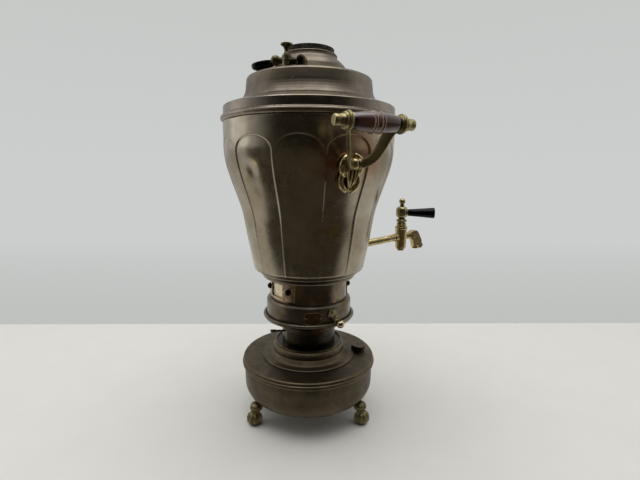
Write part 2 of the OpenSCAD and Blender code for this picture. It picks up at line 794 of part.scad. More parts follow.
module handle_root(turn) {
    color("#b8963f") on_handle(turn) difference() {
        union() {
            intersection() {
                vessel_form(root_t, root_z - 36, root_z + 20);
                translate([root_r / 2, 0, root_z]) rotate([90, 0, 90]) linear_extrude(root_r) hull() {
                    translate([0, -26]) circle(r = 7);
                    translate([0, -10]) circle(r = 15);
                    translate([0, 6]) circle(r = 11);
                }
            }
            translate([root_r - 10, -lug_half, root_z - 9]) cube([22, 2 * lug_half, 18]);
        }
        vessel_form(seat, root_z - 40, root_z + 40);
        translate([pin_at_r, pin_l / 2 + 6, root_z]) rotate([90, 0, 0]) cylinder(r = pin_r + 0.1, h = pin_l + 12);
    }
}

module handle_root_left() { handle_root(180); }
module handle_root_right() { handle_root(0); }

// Middle line of an arm in its own upright plane, which spreads to the end of the
// grip: it leaves the root pin level, climbs steeply and bends out into the eye.
function arm_at(t) =
    let (u = 1 - t)
    [arm_span * (3 * u * u * t * 0.66 + 3 * u * t * t * 0.54 + t * t * t),
     arm_rise * (3 * u * u * t * 0.05 + 3 * u * t * t * 0.92 + t * t * t)];

// Upper (side 1) or lower (side -1) edge of the arm, which widens towards the eye.
function arm_edge(t, side) =
    let (d = arm_at(t + 0.01) - arm_at(t - 0.01))
    arm_at(t) + side * arm_w * (0.38 + 0.12 * t) * [-d[1], d[0]] / norm(d);

module arm() {
    steps = 14;
    translate([pin_at_r, root_off, root_z]) rotate([90, 0, splay]) translate([0, 0, -arm_t / 2])
        linear_extrude(arm_t) polygon(concat([for (i = [0:steps]) arm_edge(i / steps, 1)],
                                             [for (i = [steps:-1:0]) arm_edge(i / steps, -1)]));
    translate([pin_at_r, root_off + arm_t / 2, root_z]) rotate([90, 0, 0]) cylinder(r = arm_w * 0.42, h = arm_t);
    translate([grip_at_r, eye_y + eye_t / 2, grip_z]) rotate([90, 0, 0]) cylinder(r = eye_r, h = eye_t);
}

module arm_pair() {
    difference() {
        for (side = [0, 1]) mirror([0, side, 0]) arm();
        for (side = [0, 1]) mirror([0, side, 0])
            translate([grip_at_r, eye_y - eye_t / 2, grip_z]) rotate([90, 0, 0]) cylinder(r = eye_r, h = 12);
        for (side = [0, 1]) mirror([0, side, 0])
            translate([grip_at_r, eye_y + eye_t / 2 + arm_t, grip_z]) rotate([90, 0, 0])
                cylinder(r = eye_r + 1, h = arm_t);
    }
}

module handle_arms(turn) {
    color("#4c452c") on_handle(turn) difference() {
        arm_pair();
        translate([grip_at_r, grip_l, grip_z]) rotate([90, 0, 0]) cylinder(r = rod_r + 0.1, h = 2 * grip_l);
        translate([pin_at_r, pin_l / 2 + 6, root_z]) rotate([90, 0, 0]) cylinder(r = pin_r + 0.1, h = pin_l + 12);
    }
}

module handle_arms_left() { handle_arms(180); }
module handle_arms_right() { handle_arms(0); }

module on_grip(turn) {
    on_handle(turn) translate([grip_at_r, 0, grip_z]) rotate([-90, 0, 0]) children();
}

module handle_grip(turn) {
    half = grip_l / 2;
    bead = 5;
    swell = [for (i = [0:6]) let (t = i / 6)
             [grip_end_r + (grip_mid_r - 1 - grip_end_r) * sin(90 * t), -half + (half - bead - 2) * t]];
    profile = concat([[0, -half]], swell, arc(grip_mid_r - 1, -bead, 1.6, -60, 60, 4),
                     arc(grip_mid_r - 1, bead, 1.6, -60, 60, 4),
                     [for (i = [6:-1:0]) [swell[i][0], -swell[i][1]]], [[0, half]]);
    color("#3a1712") on_grip(turn) difference() {
        rotate_extrude() polygon(profile);
        translate([0, 0, -half - 1]) cylinder(r = rod_r + 0.1, h = grip_l + 2);
    }
}

module handle_grip_left() { handle_grip(180); }
module handle_grip_right() { handle_grip(0); }

eye_face = eye_y + eye_t / 2;

module handle_rods() {
    color("#6a5b34") for (turn = [0, 180]) on_grip(turn)
        translate([0, 0, -eye_face - nut_l + 5]) cylinder(r = rod_r, h = 2 * (eye_face + nut_l - 5));
}

module handle_nuts() {
    color("#8f8452") for (turn = [0, 180]) for (flip = [0, 180]) on_grip(turn) rotate([flip, 0, 0])
        translate([0, 0, eye_face]) difference() {
            rotate_extrude() polygon([[0, 0], [eye_r - 2, 0], [eye_r - 1.6, 1.5], [eye_r - 2, 3], [nut_r, 3.4],
                                      [nut_r, nut_l * 0.62], [nut_r - 1.4, nut_l * 0.66], [nut_r - 1.5, nut_l - 1],
                                      [nut_r - 2.6, nut_l], [0, nut_l]]);
            translate([0, 0, -1]) cylinder(r = rod_r + 0.1, h = nut_l - 3.9);
        }
}

module handle_ferrules() {
    color("#8f8452") for (turn = [0, 180]) for (flip = [0, 180]) on_grip(turn) rotate([flip, 0, 0])
        translate([0, 0, grip_l / 2]) tube(grip_end_r + 1.5, rod_r + 0.1, ferrule_t);
}

module handle_pins() {
    color("#8f8452") for (turn = [0, 180]) on_handle(turn)
        translate([pin_at_r, pin_l / 2, root_z]) rotate([90, 0, 0]) cylinder(r = pin_r, h = pin_l);
}

// ---- Tap ----

// Frame on the pipe's line, its +Z running back to the vessel
module on_pipe() {
    rotate([0, 0, -90]) translate([tap_at_r, 0, tap_z]) rotate([0, -tap_slope, 0]) rotate([0, -90, 0]) children();
}

module on_tap() {
    rotate([0, 0, -90]) translate([tap_at_r, 0, 0]) children();
}

pipe_wall_at = tap_at_r - vessel_r(tap_z - 8);
pipe_l = pipe_wall_at + 11;

module tap_shank() {
    color("#a98c50") on_pipe() translate([0, 0, stub_at]) tube(pipe_r, water_r, pipe_l - stub_at);
}

module shank_collar() {
    color("#a98c50") difference() {
        on_pipe() translate([0, 0, pipe_wall_at - 4]) tube(pipe_r + 4, pipe_r + 0.1, 8);
        vessel_form(seat, body_z, waist_z);
    }
}

module tap_lock_nut() {
    color("#a98c50") on_pipe() translate([0, 0, pipe_wall_at + body_wall + 3.8]) difference() {
        cylinder(r = pipe_r + 4, h = 4, $fn = 6);
        translate([0, 0, -1]) cylinder(r = pipe_r + 0.1, h = 6);
    }
}

module tap_barrel() {
    nose = spout_reach;
    color("#ae9150") on_tap() difference() {
        union() {
            translate([0, 0, barrel_foot_z]) cylinder(r1 = barrel_r - 0.95, r2 = barrel_r, h = barrel_h - 4);
            translate([0, 0, barrel_top_z - 4]) cylinder(r = barrel_r + 0.65, h = 4);
            translate([0, 0, tap_z]) rotate([0, -tap_slope - 90, 0]) cylinder(r = stub_r, h = stub_at);
            translate([0, -6, tap_z - 5.5]) cube([nose - 24, 12, 13]);
            translate([0, spout_w / 2, tap_z]) rotate([90, 0, 0]) linear_extrude(spout_w)
                polygon([[nose - 27, 7.5], [nose - 24, 10], [nose - 12, 10], [nose - 7.5, 8], [nose - 1, -6],
                         [nose - 2.5, -12], [nose, -18.5], [nose - 5, -23.5], [nose - 22.5, -19],
                         [nose - 23, -10], [nose - 26.5, -6.5]]);
        }
        translate([0, 0, barrel_foot_z - 0.01])
            cylinder(r1 = plug_foot_r + fit, r2 = plug_r + fit, h = barrel_h + 0.02);
        translate([0, 0, tap_z]) rotate([0, -tap_slope - 90, 0]) cylinder(r = water_r, h = stub_at + 1);
        translate([0, 0, tap_z]) rotate([0, 90, 0]) cylinder(r = water_r, h = nose - 14);
        translate([nose - 14, 0, tap_z - 30]) cylinder(r = mouth_bore_r, h = 30);
    }
}

module tap_plug() {
    top = barrel_top_z;
    color("#9c8248") on_tap() difference() {
        union() {
            rotate_extrude() polygon(concat(
                [[0, barrel_foot_z - 5], [2.5, barrel_foot_z - 5], [2.5, barrel_foot_z + 0.3],
                 [plug_foot_r, barrel_foot_z + 0.3], [plug_r, top], [plug_r, top + 0.3], [7.7, top + 0.3]],
                arc(6, top + 3.3, 2.4, -50, 50, 5), arc(6, top + 9.8, 2.9, -60, 60, 5),
                [[6, top + 13.5], [hub_r, hub_z], [hub_r, hub_top_z - 1], [hub_r - 1, hub_top_z],
                 [0, hub_top_z]]));
            rotate([0, 0, lever_turn]) translate([0, 0, lever_z]) rotate([0, 90, 0]) cylinder(r = 2.5, h = 26);
        }
        rotate([0, 0, lever_turn]) translate([0, 0, tap_z]) rotate([0, 90, 0])
            cylinder(r = water_r, h = 40, center = true);
        translate([0, 0, hub_top_z - 9]) cylinder(r = 2.1, h = 10);
    }
}

module tap_lever() {
    root = 11 / 2;
    end = lever_d / 2;
    color("#100f0e") on_tap() rotate([0, 0, lever_turn]) translate([hub_r + 0.1, 0, lever_z]) rotate([0, 90, 0])
        difference() {
            rotate_extrude() polygon(concat([[0, 0], [root, 0], [root + 0.6, 3], [end, lever_l * 0.72]],
                                            arc(0, lever_l - end, end, 12, 90, 8)));
            translate([0, 0, -1]) cylinder(r = 2.6, h = 18);
        }
}

module tap_finial() {
    color("#8f8452") on_tap() translate([0, 0, hub_top_z]) {
        translate([0, 0, -8]) cylinder(r = 2, h = 12);
        cylinder(r = 3.75, h = 4);
        translate([0, 0, 9]) sphere(r = 5.3);
    }
}

module plug_nut() {
    color("#9c8248") on_tap() translate([0, 0, barrel_foot_z]) difference() {
        union() {
            translate([0, 0, -1.3]) cylinder(r = 8.2, h = 1.1);
            translate([0, 0, -4.5]) cylinder(r = 6, h = 3.5, $fn = 6);
        }
        translate([0, 0, -6]) cylinder(r = 2.55, h = 7);
    }
}

// ---- Lid ----

lid_outline = concat([[mouth_r - 1.8, mouth_z], [lid_r, mouth_z], [lid_r - 0.3, mouth_z + 1.4]],
                     [for (i = [1:5]) let (t = i / 5)
                         [mouth_r + 1.8 + (lid_r - mouth_r - 2.1) * (1 - t) * (1 - t),
                          mouth_z + 1.4 + (lid_side_h - 12) * t]],
                     [[lid_top_r, lid_side_z], [lid_top_r - 1.4, lid_side_z + 1.8], [crown_edge_r, crown_edge_z],
                      [crown_foot_r, crown_foot_z]],
                     [for (p = [[0.06, 0.1], [0.15, 0.3], [0.24, 0.4], [0.44, 0.54], [0.75, 0.7], [0.93, 0.84]])
                         [crown_foot_r + (lid_hole_r + 2 - crown_foot_r) * p[0],
                          crown_foot_z + (crown_z - crown_foot_z) * p[1]]],
                     [[lid_hole_r + 2, crown_z], [lid_hole_r, crown_z]]);

module lid_form() {
    rotate_extrude() polygon(concat([[0, mouth_z]], lid_outline, [[0, crown_z]]));
}

// Frames standing on the crown under a knob, and at the vent key
module at_knobs() {
    seat_z = crown_edge_z + (crown_edge_r - knob_at_r) * tan(crown_slope);
    for (turn = [90, 270]) rotate([0, 0, turn]) translate([knob_at_r, 0, seat_z]) rotate([0, crown_slope, 0]) children();
}

vent_z = crown_foot_z + 6.3;
vent_dir = 100.4;
vent_tilt = 5;
vent_boss_h = 6;

module at_vent(z) {
    rotate([0, 0, vent_turn]) translate([vent_at_r, 0, z]) rotate([0, 0, vent_dir]) children();
}

module lid_shell() {
    color("#6e645a") difference() {
        union() {
            spun(lid_outline, lid_wall);
            translate([0, 0, mouth_z - 9]) tube(mouth_r - 0.8, mouth_r - 0.8 - lid_wall, 10);
            translate([0, 0, crown_z - 0.2]) rotate_extrude() translate([lid_hole_r + 1.6, 0]) circle(r = 1.5);
        }
        at_knobs() translate([0, 0, -8]) cylinder(r = 3.1, h = 12);
        at_vent(crown_foot_z - 20) cylinder(r = 2.2, h = 30);
    }
}

module lid_knobs() {
    r = knob_d / 2;
    color("#0d0c0b") at_knobs() translate([0, 0, 2]) difference() {
        rotate_extrude() polygon([[0, 0], [r * 0.5, 0], [r * 0.62, knob_h * 0.14], [r * 0.88, knob_h * 0.36],
                                  [r, knob_h * 0.54], [r, knob_h * 0.84], [r - 1, knob_h * 0.95],
                                  [r * 0.6, knob_h], [0, knob_h]]);
        translate([0, 0, -1]) cylinder(r = 2.1, h = 7);
    }
}

module lid_studs() {
    color("#a98c50") at_knobs() {
        cylinder(r = 6, h = 2);
        translate([0, 0, -4]) cylinder(r = 3, h = 5);
        cylinder(r = 2, h = 7.8);
        translate([0, 0, -4.4]) cylinder(r = 5.5, h = 2.8, $fn = 6);
    }
}

module along_vent() {
    at_vent(vent_z) rotate([0, vent_tilt, 0]) children();
}

// Arched outlet at the pipe's end, open outwards
outlet_w = 12;
module at_outlet() {
    along_vent() translate([vent_l, 0, 0]) rotate([90, 0, 0]) children();
}
module outlet_arch(r) {
    translate([0, 1]) circle(r = r, $fn = 40);
    translate([-r, -9]) square([2 * r, 10]);
}

module vent_body() {
    color("#8c7440") difference() {
        union() {
            at_vent(vent_z - 14) cylinder(r = 6.4, h = 14 + vent_boss_h);
            along_vent() rotate([0, 90, 0]) cylinder(r = vent_pipe_r, h = vent_l);
            along_vent() rotate([0, -90, 0]) cylinder(r = vent_pipe_r, h = vent_tail);
            along_vent() translate([-vent_tail, 0, 0]) sphere(r = 6.4);
            at_outlet() linear_extrude(10, center = true) outlet_arch(outlet_w / 2);
        }
        translate([0, 0, seat]) lid_form();
        at_vent(vent_z - 2.7) cylinder(r = 3 + fit, h = 12);
        along_vent() rotate([0, 90, 0]) cylinder(r = 2.4, h = vent_l);
        at_outlet() linear_extrude(10) outlet_arch(outlet_w / 2 - 2.2);
        at_vent(vent_z - 20) cylinder(r = 2.2, h = 20);
    }
}

module vent_key() {
    top = vent_boss_h + vent_key_h;
    color("#a88e50") at_vent(vent_z) difference() {
        rotate_extrude() polygon([[0, -2.5], [3, -2.5], [3, vent_boss_h + 0.2], [5, vent_boss_h + 0.2],
                                  [4.4, vent_boss_h + 2.4], [3.1, vent_boss_h + 5], [3.2, top - 7],
                                  [4.8, top - 4], [8, top - 1.6], [8, top - 0.4], [7.4, top], [0, top]]);
        rotate([0, 90, 0]) cylinder(r = 1.6, h = 12, center = true);
    }
}

tank_bowl();
tank_cover();
paw_foot_rear();
paw_foot_left();
paw_foot_right();
filler_neck();
burner_base();
wick_tube();
air_tube();
spindle_bearing();
burner_basket();
gallery_plate();
flame_spreader();
filler_cap();
wick();
wick_spindle();
spindle_pinion();
gallery_skirt();
oval_plate();
plate_rivets();
latch_bracket();
latch_pin();
latch_lever();
latch_ball();
drum();
window_plates();
mica_panes();
window_studs();
base_ring();
body_shell();
vessel_floor();
flue_cone();
flue_tube();
chimney_collar();
rim_band();
handle_root_left();
handle_root_right();
handle_arms_left();
handle_arms_right();
handle_grip_left();
handle_grip_right();
handle_rods();
handle_nuts();
handle_ferrules();
handle_pins();
tap_shank();
shank_collar();
tap_lock_nut();
tap_barrel();
tap_plug();
tap_lever();
tap_finial();
plug_nut();
lid_shell();
lid_knobs();
lid_studs();
vent_body();
vent_key();
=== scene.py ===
from math import copysign, cos, exp, hypot, pi, radians, remainder, sin, sqrt

import bmesh
import bpy
import numpy as np
from mathutils import Matrix, Vector, noise


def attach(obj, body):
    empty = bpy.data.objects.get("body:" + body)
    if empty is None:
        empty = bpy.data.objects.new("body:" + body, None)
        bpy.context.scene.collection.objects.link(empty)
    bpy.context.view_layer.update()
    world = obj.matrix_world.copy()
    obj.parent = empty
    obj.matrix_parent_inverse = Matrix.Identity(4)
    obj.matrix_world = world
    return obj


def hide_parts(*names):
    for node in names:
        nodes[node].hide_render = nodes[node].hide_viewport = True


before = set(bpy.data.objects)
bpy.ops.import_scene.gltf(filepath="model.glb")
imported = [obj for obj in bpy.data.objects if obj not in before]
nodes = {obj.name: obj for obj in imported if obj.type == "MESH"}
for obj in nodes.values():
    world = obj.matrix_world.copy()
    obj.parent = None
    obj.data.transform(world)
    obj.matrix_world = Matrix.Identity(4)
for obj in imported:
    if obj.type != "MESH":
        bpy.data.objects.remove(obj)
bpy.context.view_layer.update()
scene = bpy.context.scene
print("frame loaded:", len(nodes), "nodes")


def toLinear(code):  # sRGB hex to linear colour
    parts = [int(code[i:i + 2], 16) / 255 for i in (1, 3, 5)]
    return [p / 12.92 if p <= 0.04045 else ((p + 0.055) / 1.055) ** 2.4 for p in parts] + [1]


def polar(r, a, z):
    return r * cos(a), r * sin(a), z


def feed(tree, node, values):  # links the sockets among the values and sets the others
    for key, value in values.items():
        if isinstance(value, bpy.types.NodeSocket):
            tree.links.new(value, node.inputs[key])
        else:
            node.inputs[key].default_value = value


def add(tree, kind, values=None, **settings):  # one node with its settings and its inputs
    made = tree.nodes.new("ShaderNode" + kind)
    for key, value in settings.items():
        setattr(made, key, value)
    feed(tree, made, values or {})
    return made


def blend(tree, share, first, second):  # two colours mixed, each a socket, a colour or a hex code
    first, second = [toLinear(c) if isinstance(c, str) else c for c in (first, second)]
    return add(tree, "Mix", {0: share, 6: first, 7: second}, data_type="RGBA").outputs[2]


def span(tree, value, low, high, start=0.0, end=1.0, curve="LINEAR"):  # one range to another
    return add(tree, "MapRange", {"Value": value, "From Min": low, "From Max": high,
                                  "To Min": start, "To Max": end},
               interpolation_type=curve).outputs[0]


def maths(tree, operation, *values, **settings):
    return add(tree, "Math", dict(enumerate(values)), operation=operation, **settings).outputs[0]


def vectorMaths(tree, operation, result, *values):
    return add(tree, "VectorMath", dict(enumerate(values)), operation=operation).outputs[result]


def clouds(tree, place, size, detail=2.0, rough=0.5, twist=0.0):  # noise, patches size mm across
    return add(tree, "TexNoise", {"Vector": place, "Scale": 1000 / size, "Detail": detail,
                                  "Roughness": rough, "Distortion": twist}).outputs["Fac"]


def cells(tree, place, size):  # scattered cells, size mm across
    return add(tree, "TexVoronoi", {"Vector": place, "Scale": 1000 / size}).outputs


def bumped(tree, height, strength, depth):
    return add(tree, "Bump", {"Strength": strength, "Distance": depth,
                              "Height": height}).outputs[0]


# camera and room

view = {"fromAxis": 0.613, "turn": 156, "height": 0.3847, "pitch": 9.65, "yaw": 1.6, "roll": 0.48,
        "lens": 22.5, "sensor": 36, "clip": 0.01}
room = {
    "wall": "#CCCECD", "wallLow": "#BEC1BE", "wallHigh": "#C4C7C4", "climb": 0.45, "wallFar": 1.6,
    "table": "#E4E3DE", "mottle": "#DEDDD8", "reflectedShade": "#1E1A15", "reflectedShadeFar": "#544B3D",
    "tableHalf": 30, "tableRough": 0.6, "tableShine": 0.15,
    "backEdge": 0.365,         # metres from the axis to the back edge of the table
    "reflectedShadeFrom": (0.10, 0.32),  # painted shade: where the table before the samovar starts to turn dark, in reflections only
    "reflectedShadeSpan": (0.2, 0.7),    # and where that painted shade turns brown
    # brightness of the room by direction, from the camera's side (0) to behind the samovar (1)
    "round": ((0.0, 0.012), (0.10, 0.02), (0.20, 0.05), (0.34, 0.46), (0.6, 0.62), (0.85, 0.58),
              (1.0, 0.52)),
    "warmBelow": 0.4,          # darker than this, the room is brown
    "overhead": 0.95, "overheadFrom": 0.56,
    # soft lamps: turn from the camera, distance, height, size, power, height of the aim
    "lamps": {"left": (-100, 1.5, 1.0, 1.0, 1.6, 0.3), "right": (105, 1.5, 1.0, 0.9, 1.0, 0.3),
              "above": (-20, 0.2, 2.2, 2.0, 21, 0.1)},
}
cameraSide = Vector(polar(1, radians(view["turn"]), 0))


def placeCamera():
    heading = radians(view["turn"] + 180 - view["yaw"])
    pitch, lean = radians(view["pitch"]), radians(view["roll"])
    forward = Vector((cos(heading) * cos(pitch), sin(heading) * cos(pitch),
                      -sin(pitch)))
    right = Vector((sin(heading), -cos(heading), 0))
    up = right.cross(forward)
    right, up = (right * cos(lean) + up * sin(lean),
                 up * cos(lean) - right * sin(lean))
    data = bpy.data.cameras.new("camera")
    data.lens, data.sensor_width, data.clip_start = view["lens"], view["sensor"], view["clip"]
    camera = bpy.data.objects.new("camera", data)
    place = Matrix((right, up, -forward)).transposed().to_4x4()
    place.translation = cameraSide * view["fromAxis"] + Vector((0, 0, view["height"]))
    camera.matrix_world = place
    scene.collection.objects.link(camera)
    scene.camera = camera


def lightRoom():
    world = bpy.data.worlds.new("pale room")
    scene.world = world
    world.use_nodes = True
    tree = world.node_tree
    tree.nodes.clear()
    way = add(tree, "TexCoord").outputs["Generated"]
    level = vectorMaths(tree, "MULTIPLY", 0, way, (1, 1, 0))
    level = vectorMaths(tree, "NORMALIZE", 0, level)
    facing = vectorMaths(tree, "DOT_PRODUCT", "Value", level, cameraSide)
    ramp = add(tree, "ValToRGB", {"Fac": span(tree, facing, 1.0, -1.0)})
    ramp.color_ramp.interpolation = "B_SPLINE"
    while len(ramp.color_ramp.elements) < len(room["round"]):
        ramp.color_ramp.elements.new(0.5)
    for element, (at, light) in zip(ramp.color_ramp.elements, room["round"]):
        element.position = at
    for element, (at, light) in zip(ramp.color_ramp.elements, room["round"]):
        warm = max(0, 1 - light / room["warmBelow"])
        element.color = (light, light * (0.985 - 0.17 * warm), light * (0.96 - 0.4 * warm), 1)
    height = add(tree, "SeparateXYZ", {"Vector": way}).outputs["Z"]
    high = span(tree, height, room["overheadFrom"], 1.0, curve="SMOOTHSTEP")
    top = room["overhead"]
    sky = blend(tree, high, ramp.outputs[0], (top, top, top * 0.98, 1))
    wall = blend(tree, span(tree, height, 0.0, room["climb"]), room["wall"], room["wallHigh"])
    path = add(tree, "LightPath")
    shown = blend(tree, path.outputs["Is Camera Ray"], sky, wall)
    back = add(tree, "Background", {"Color": shown, "Strength": 1.0})
    add(tree, "OutputWorld", {"Surface": back.outputs[0]})
    for name, (turn, away, height, size, power, aim) in room["lamps"].items():
        data = bpy.data.lights.new("soft lamp " + name, "AREA")
        data.shape, data.size, data.size_y, data.energy = "RECTANGLE", size, size, power
        lamp = bpy.data.objects.new("soft lamp " + name, data)
        lamp.location = polar(away, radians(view["turn"] + turn), height)
        down = Vector((0, 0, aim)) - lamp.location
        lamp.rotation_euler = down.to_track_quat("-Z", "Y").to_euler()
        scene.collection.objects.link(lamp)


def blankMaterial(name):
    material = bpy.data.materials.new(name)
    material.use_nodes = True
    tree = material.node_tree
    place = add(tree, "TexCoord").outputs["Object"]
    return material, tree, tree.nodes["Principled BSDF"], place


def layTable():  # matt painted board: an even pale grey that keeps the samovar's soft shadow; in reflections its part before the samovar is painted dark
    mesh, half = bpy.data.meshes.new("table top"), room["tableHalf"]
    mesh.from_pydata([(-half, -half, 0), (half, -half, 0), (half, half, 0), (-half, half, 0)], [],
                     [(0, 1, 2, 3)])
    table = bpy.data.objects.new("table top", mesh)
    scene.collection.objects.link(table)
    material, tree, board, place = blankMaterial("matt painted board")
    along = vectorMaths(tree, "DOT_PRODUCT", "Value", place, cameraSide)
    path = add(tree, "LightPath").outputs
    paint = blend(tree, clouds(tree, place, 60, 4.0), room["table"], room["mottle"])
    # painted shade: seen only in reflections, the table before the samovar turns dark and then
    # brown, standing in for the dark room on the camera's side
    near = span(tree, along, *room["reflectedShadeFrom"], curve="SMOOTHSTEP")
    dark = maths(tree, "MULTIPLY", near, path["Is Glossy Ray"])
    shade = blend(tree, span(tree, along, *room["reflectedShadeSpan"]), room["reflectedShade"], room["reflectedShadeFar"])
    feed(tree, board, {"Base Color": blend(tree, dark, paint, shade),
                       "Roughness": room["tableRough"], "Specular IOR Level": room["tableShine"]})
    # past the back edge the wall is seen
    beyond = maths(tree, "LESS_THAN", along, -room["backEdge"])
    seen = maths(tree, "MULTIPLY", path["Is Camera Ray"], beyond)
    up = span(tree, along, -room["backEdge"], -room["wallFar"])
    wall = blend(tree, up, room["wallLow"], room["wall"])
    glow = add(tree, "Emission", {"Color": wall, "Strength": 1.0})
    both = add(tree, "MixShader", {0: seen, 1: board.outputs[0], 2: glow.outputs[0]})
    tree.links.new(both.outputs[0], tree.nodes["Material Output"].inputs["Surface"])
    mesh.materials.append(material)


placeCamera()
lightRoom()
layTable()
scene.view_settings.view_transform = "Standard"
print("camera, lamps and table placed")


# finishes

usual = {"metallic": 1.0, "tinting": 0.6, "specks": 0.1, "speckGap": 9.0, "scratches": 0.2,
         "rub": 0.6, "grime": 0.7, "grain": 1.6, "graining": 0.3, "bump": 0.35, "spun": 0,
         "marks": ()}


def agedMetal(name, patch, smoothness, colours, **more):  # tarnish, specks, scratches, darker hollows
    look = {**usual, **more}
    base, dark, tint, bright, deep, fleck = colours
    material, tree, metal, place = blankMaterial(name)
    patches = clouds(tree, place, patch, 6.0, 0.62, 0.6)
    colour = blend(tree, span(tree, patches, 0.36, 0.66), base, dark)
    tints = clouds(tree, place, patch * 0.45, 4.0, 0.6, 1.2)
    colour = blend(tree, span(tree, tints, 0.52, 0.74, 0, look["tinting"]), colour, tint)
    for spot, reach, code, strength in look["marks"]:  # single stains, places in mm
        gap = vectorMaths(tree, "DISTANCE", "Value", place, [s / 1000 for s in spot])
        fade = span(tree, gap, reach / 1000, 0.0, 0, strength * 2, "SMOOTHSTEP")
        colour = blend(tree, maths(tree, "MULTIPLY", fade, tints, use_clamp=True), colour, code)
    # specks of verdigris and bare metal, about a millimetre across
    spots = cells(tree, place, look["speckGap"])
    chosen = add(tree, "SeparateColor", {0: spots["Color"]}).outputs[0]
    some = maths(tree, "GREATER_THAN", chosen, 1 - look["specks"])
    speck = maths(tree, "MULTIPLY", span(tree, spots["Distance"], 0.10, 0.05), some)
    colour = blend(tree, speck, colour, fleck)
    # fine scratches: narrow bands of stretched clouds
    lines = []
    for turn in (0.5, 2.1):
        slanted = add(tree, "Mapping", {"Vector": place, "Scale": (1, 14, 14),
                                        "Rotation": (turn, 0.4, turn * 0.7)}).outputs[0]
        off = maths(tree, "ABSOLUTE", maths(tree, "SUBTRACT", clouds(tree, slanted, 90), 0.5))
        lines.append(span(tree, off, 0.006, 0.0, 0, look["scratches"]))
    broken = span(tree, tints, 0.45, 0.6)
    scratch = maths(tree, "MULTIPLY", maths(tree, "MAXIMUM", *lines), broken)
    colour = blend(tree, scratch, colour, bright)
    # edges rubbed bright, hollows darkened towards the deep colour
    edge = add(tree, "NewGeometry").outputs["Pointiness"]
    rub = maths(tree, "MULTIPLY", span(tree, edge, 0.515, 0.56, 0, look["rub"]), broken)
    colour = blend(tree, rub, colour, bright)
    colour = blend(tree, span(tree, edge, 0.488, 0.44, 0, look["grime"]), colour, deep)
    # handling and spinning leave the sheen uneven
    smear = maths(tree, "MULTIPLY", clouds(tree, place, 14, 5.0, 0.7), patches)
    sheen = span(tree, smear, 0.15, 0.38, *smoothness)
    relief = maths(tree, "MULTIPLY", clouds(tree, place, look["grain"], 3.0), look["graining"])
    if look["spun"]:  # faint rings left by the spinning tool, 1.2 mm apart so that they show
        apart = add(tree, "SeparateXYZ", {"Vector": place}).outputs
        level = add(tree, "CombineXYZ", {"X": apart["X"], "Y": apart["Y"]}).outputs[0]
        radius = vectorMaths(tree, "LENGTH", "Value", level)
        across = add(tree, "CombineXYZ", {"X": radius, "Z": apart["Z"]}).outputs[0]
        rings = maths(tree, "MULTIPLY", clouds(tree, across, 1.2), look["spun"])
        relief = maths(tree, "ADD", relief, rings)
    cut = maths(tree, "SUBTRACT", relief, scratch)
    feed(tree, metal, {"Base Color": colour, "Metallic": look["metallic"], "Roughness": sheen,
                       "Normal": bumped(tree, cut, look["bump"], 0.0004)})
    return material


def onWall(turn, radius, height):  # a place on the vessel in mm
    return polar(radius, radians(turn), height)


def turnedBlack():  # ebonised hardwood turned and polished: black, a soft gloss and faint dust
    material, tree, wood, place = blankMaterial("ebonised hardwood, polished")
    dust = clouds(tree, place, 6, 6.0, 0.7)
    feed(tree, wood, {"Base Color": blend(tree, span(tree, dust, 0.5, 0.8), "#030303", "#0C0B0A"),
                      "Roughness": span(tree, dust, 0.3, 0.75, 0.1, 0.26),
                      "Specular IOR Level": 0.16,
                      "Normal": bumped(tree, clouds(tree, place, 0.9), 0.12, 0.0002)})
    return material


def lacqueredWood():  # beech stained red-brown under old shellac, its dark grain along the grip
    material, tree, wood, place = blankMaterial("stained beech, shellac")
    along = add(tree, "Mapping", {"Vector": place, "Scale": (1, 0.08, 1)}).outputs[0]
    grain = clouds(tree, along, 1.6, 5.0, 0.65)
    colour = blend(tree, span(tree, grain, 0.35, 0.7), "#220F0B", "#40190F")
    worn = clouds(tree, place, 16, 5.0)
    colour = blend(tree, span(tree, worn, 0.5, 0.7, 0, 0.6), colour, "#50281C")
    # rubbed pale at the edges of the beads and painted black at the ends, metres from the middle
    off = maths(tree, "ABSOLUTE", add(tree, "SeparateXYZ", {0: place}).outputs["Y"])
    for at in (0.0032, 0.0068):
        gap = maths(tree, "ABSOLUTE", maths(tree, "SUBTRACT", off, at))
        rubbed = maths(tree, "MULTIPLY", span(tree, gap, 0.0008, 0.0003), worn)
        pale = maths(tree, "MULTIPLY", rubbed, 1.5, use_clamp=True)
        colour = blend(tree, pale, colour, "#C4A594")
    colour = blend(tree, span(tree, off, 0.0262, 0.0266), colour, "#080605")
    feed(tree, wood, {"Base Color": colour, "Coat Weight": 0.9, "Coat Roughness": 0.24,
                      "Roughness": span(tree, worn, 0.35, 0.7, 0.3, 0.16),
                      "Normal": bumped(tree, grain, 0.15, 0.0002)})
    return material


def splitMica():  # split mica sheet: pearly flakes, yellowed by heat, that mirror dully
    material, tree, mica, place = blankMaterial("split mica sheet")
    stain = span(tree, clouds(tree, place, 8, 5.0, 0.5, 1.0), 0.4, 0.65)
    flakes = cells(tree, place, 5)["Distance"]
    feed(tree, mica, {"Base Color": blend(tree, stain, "#FBF4DE", "#DCC894"), "Metallic": 0.35,
                      "Roughness": 0.3, "IOR": 1.58, "Normal": bumped(tree, flakes, 0.3, 0.0003)})
    return material


def wovenWick():  # round cotton wick, plaited, soaked and charred at the top
    material, tree, cotton, place = blankMaterial("plaited cotton wick")
    char = clouds(tree, place, 5, 4.0)
    plait = cells(tree, place, 1.8)["Distance"]
    feed(tree, cotton, {"Base Color": blend(tree, char, "#8A8068", "#26201A"), "Roughness": 0.95,
                        "Normal": bumped(tree, plait, 0.7, 0.0006)})
    return material


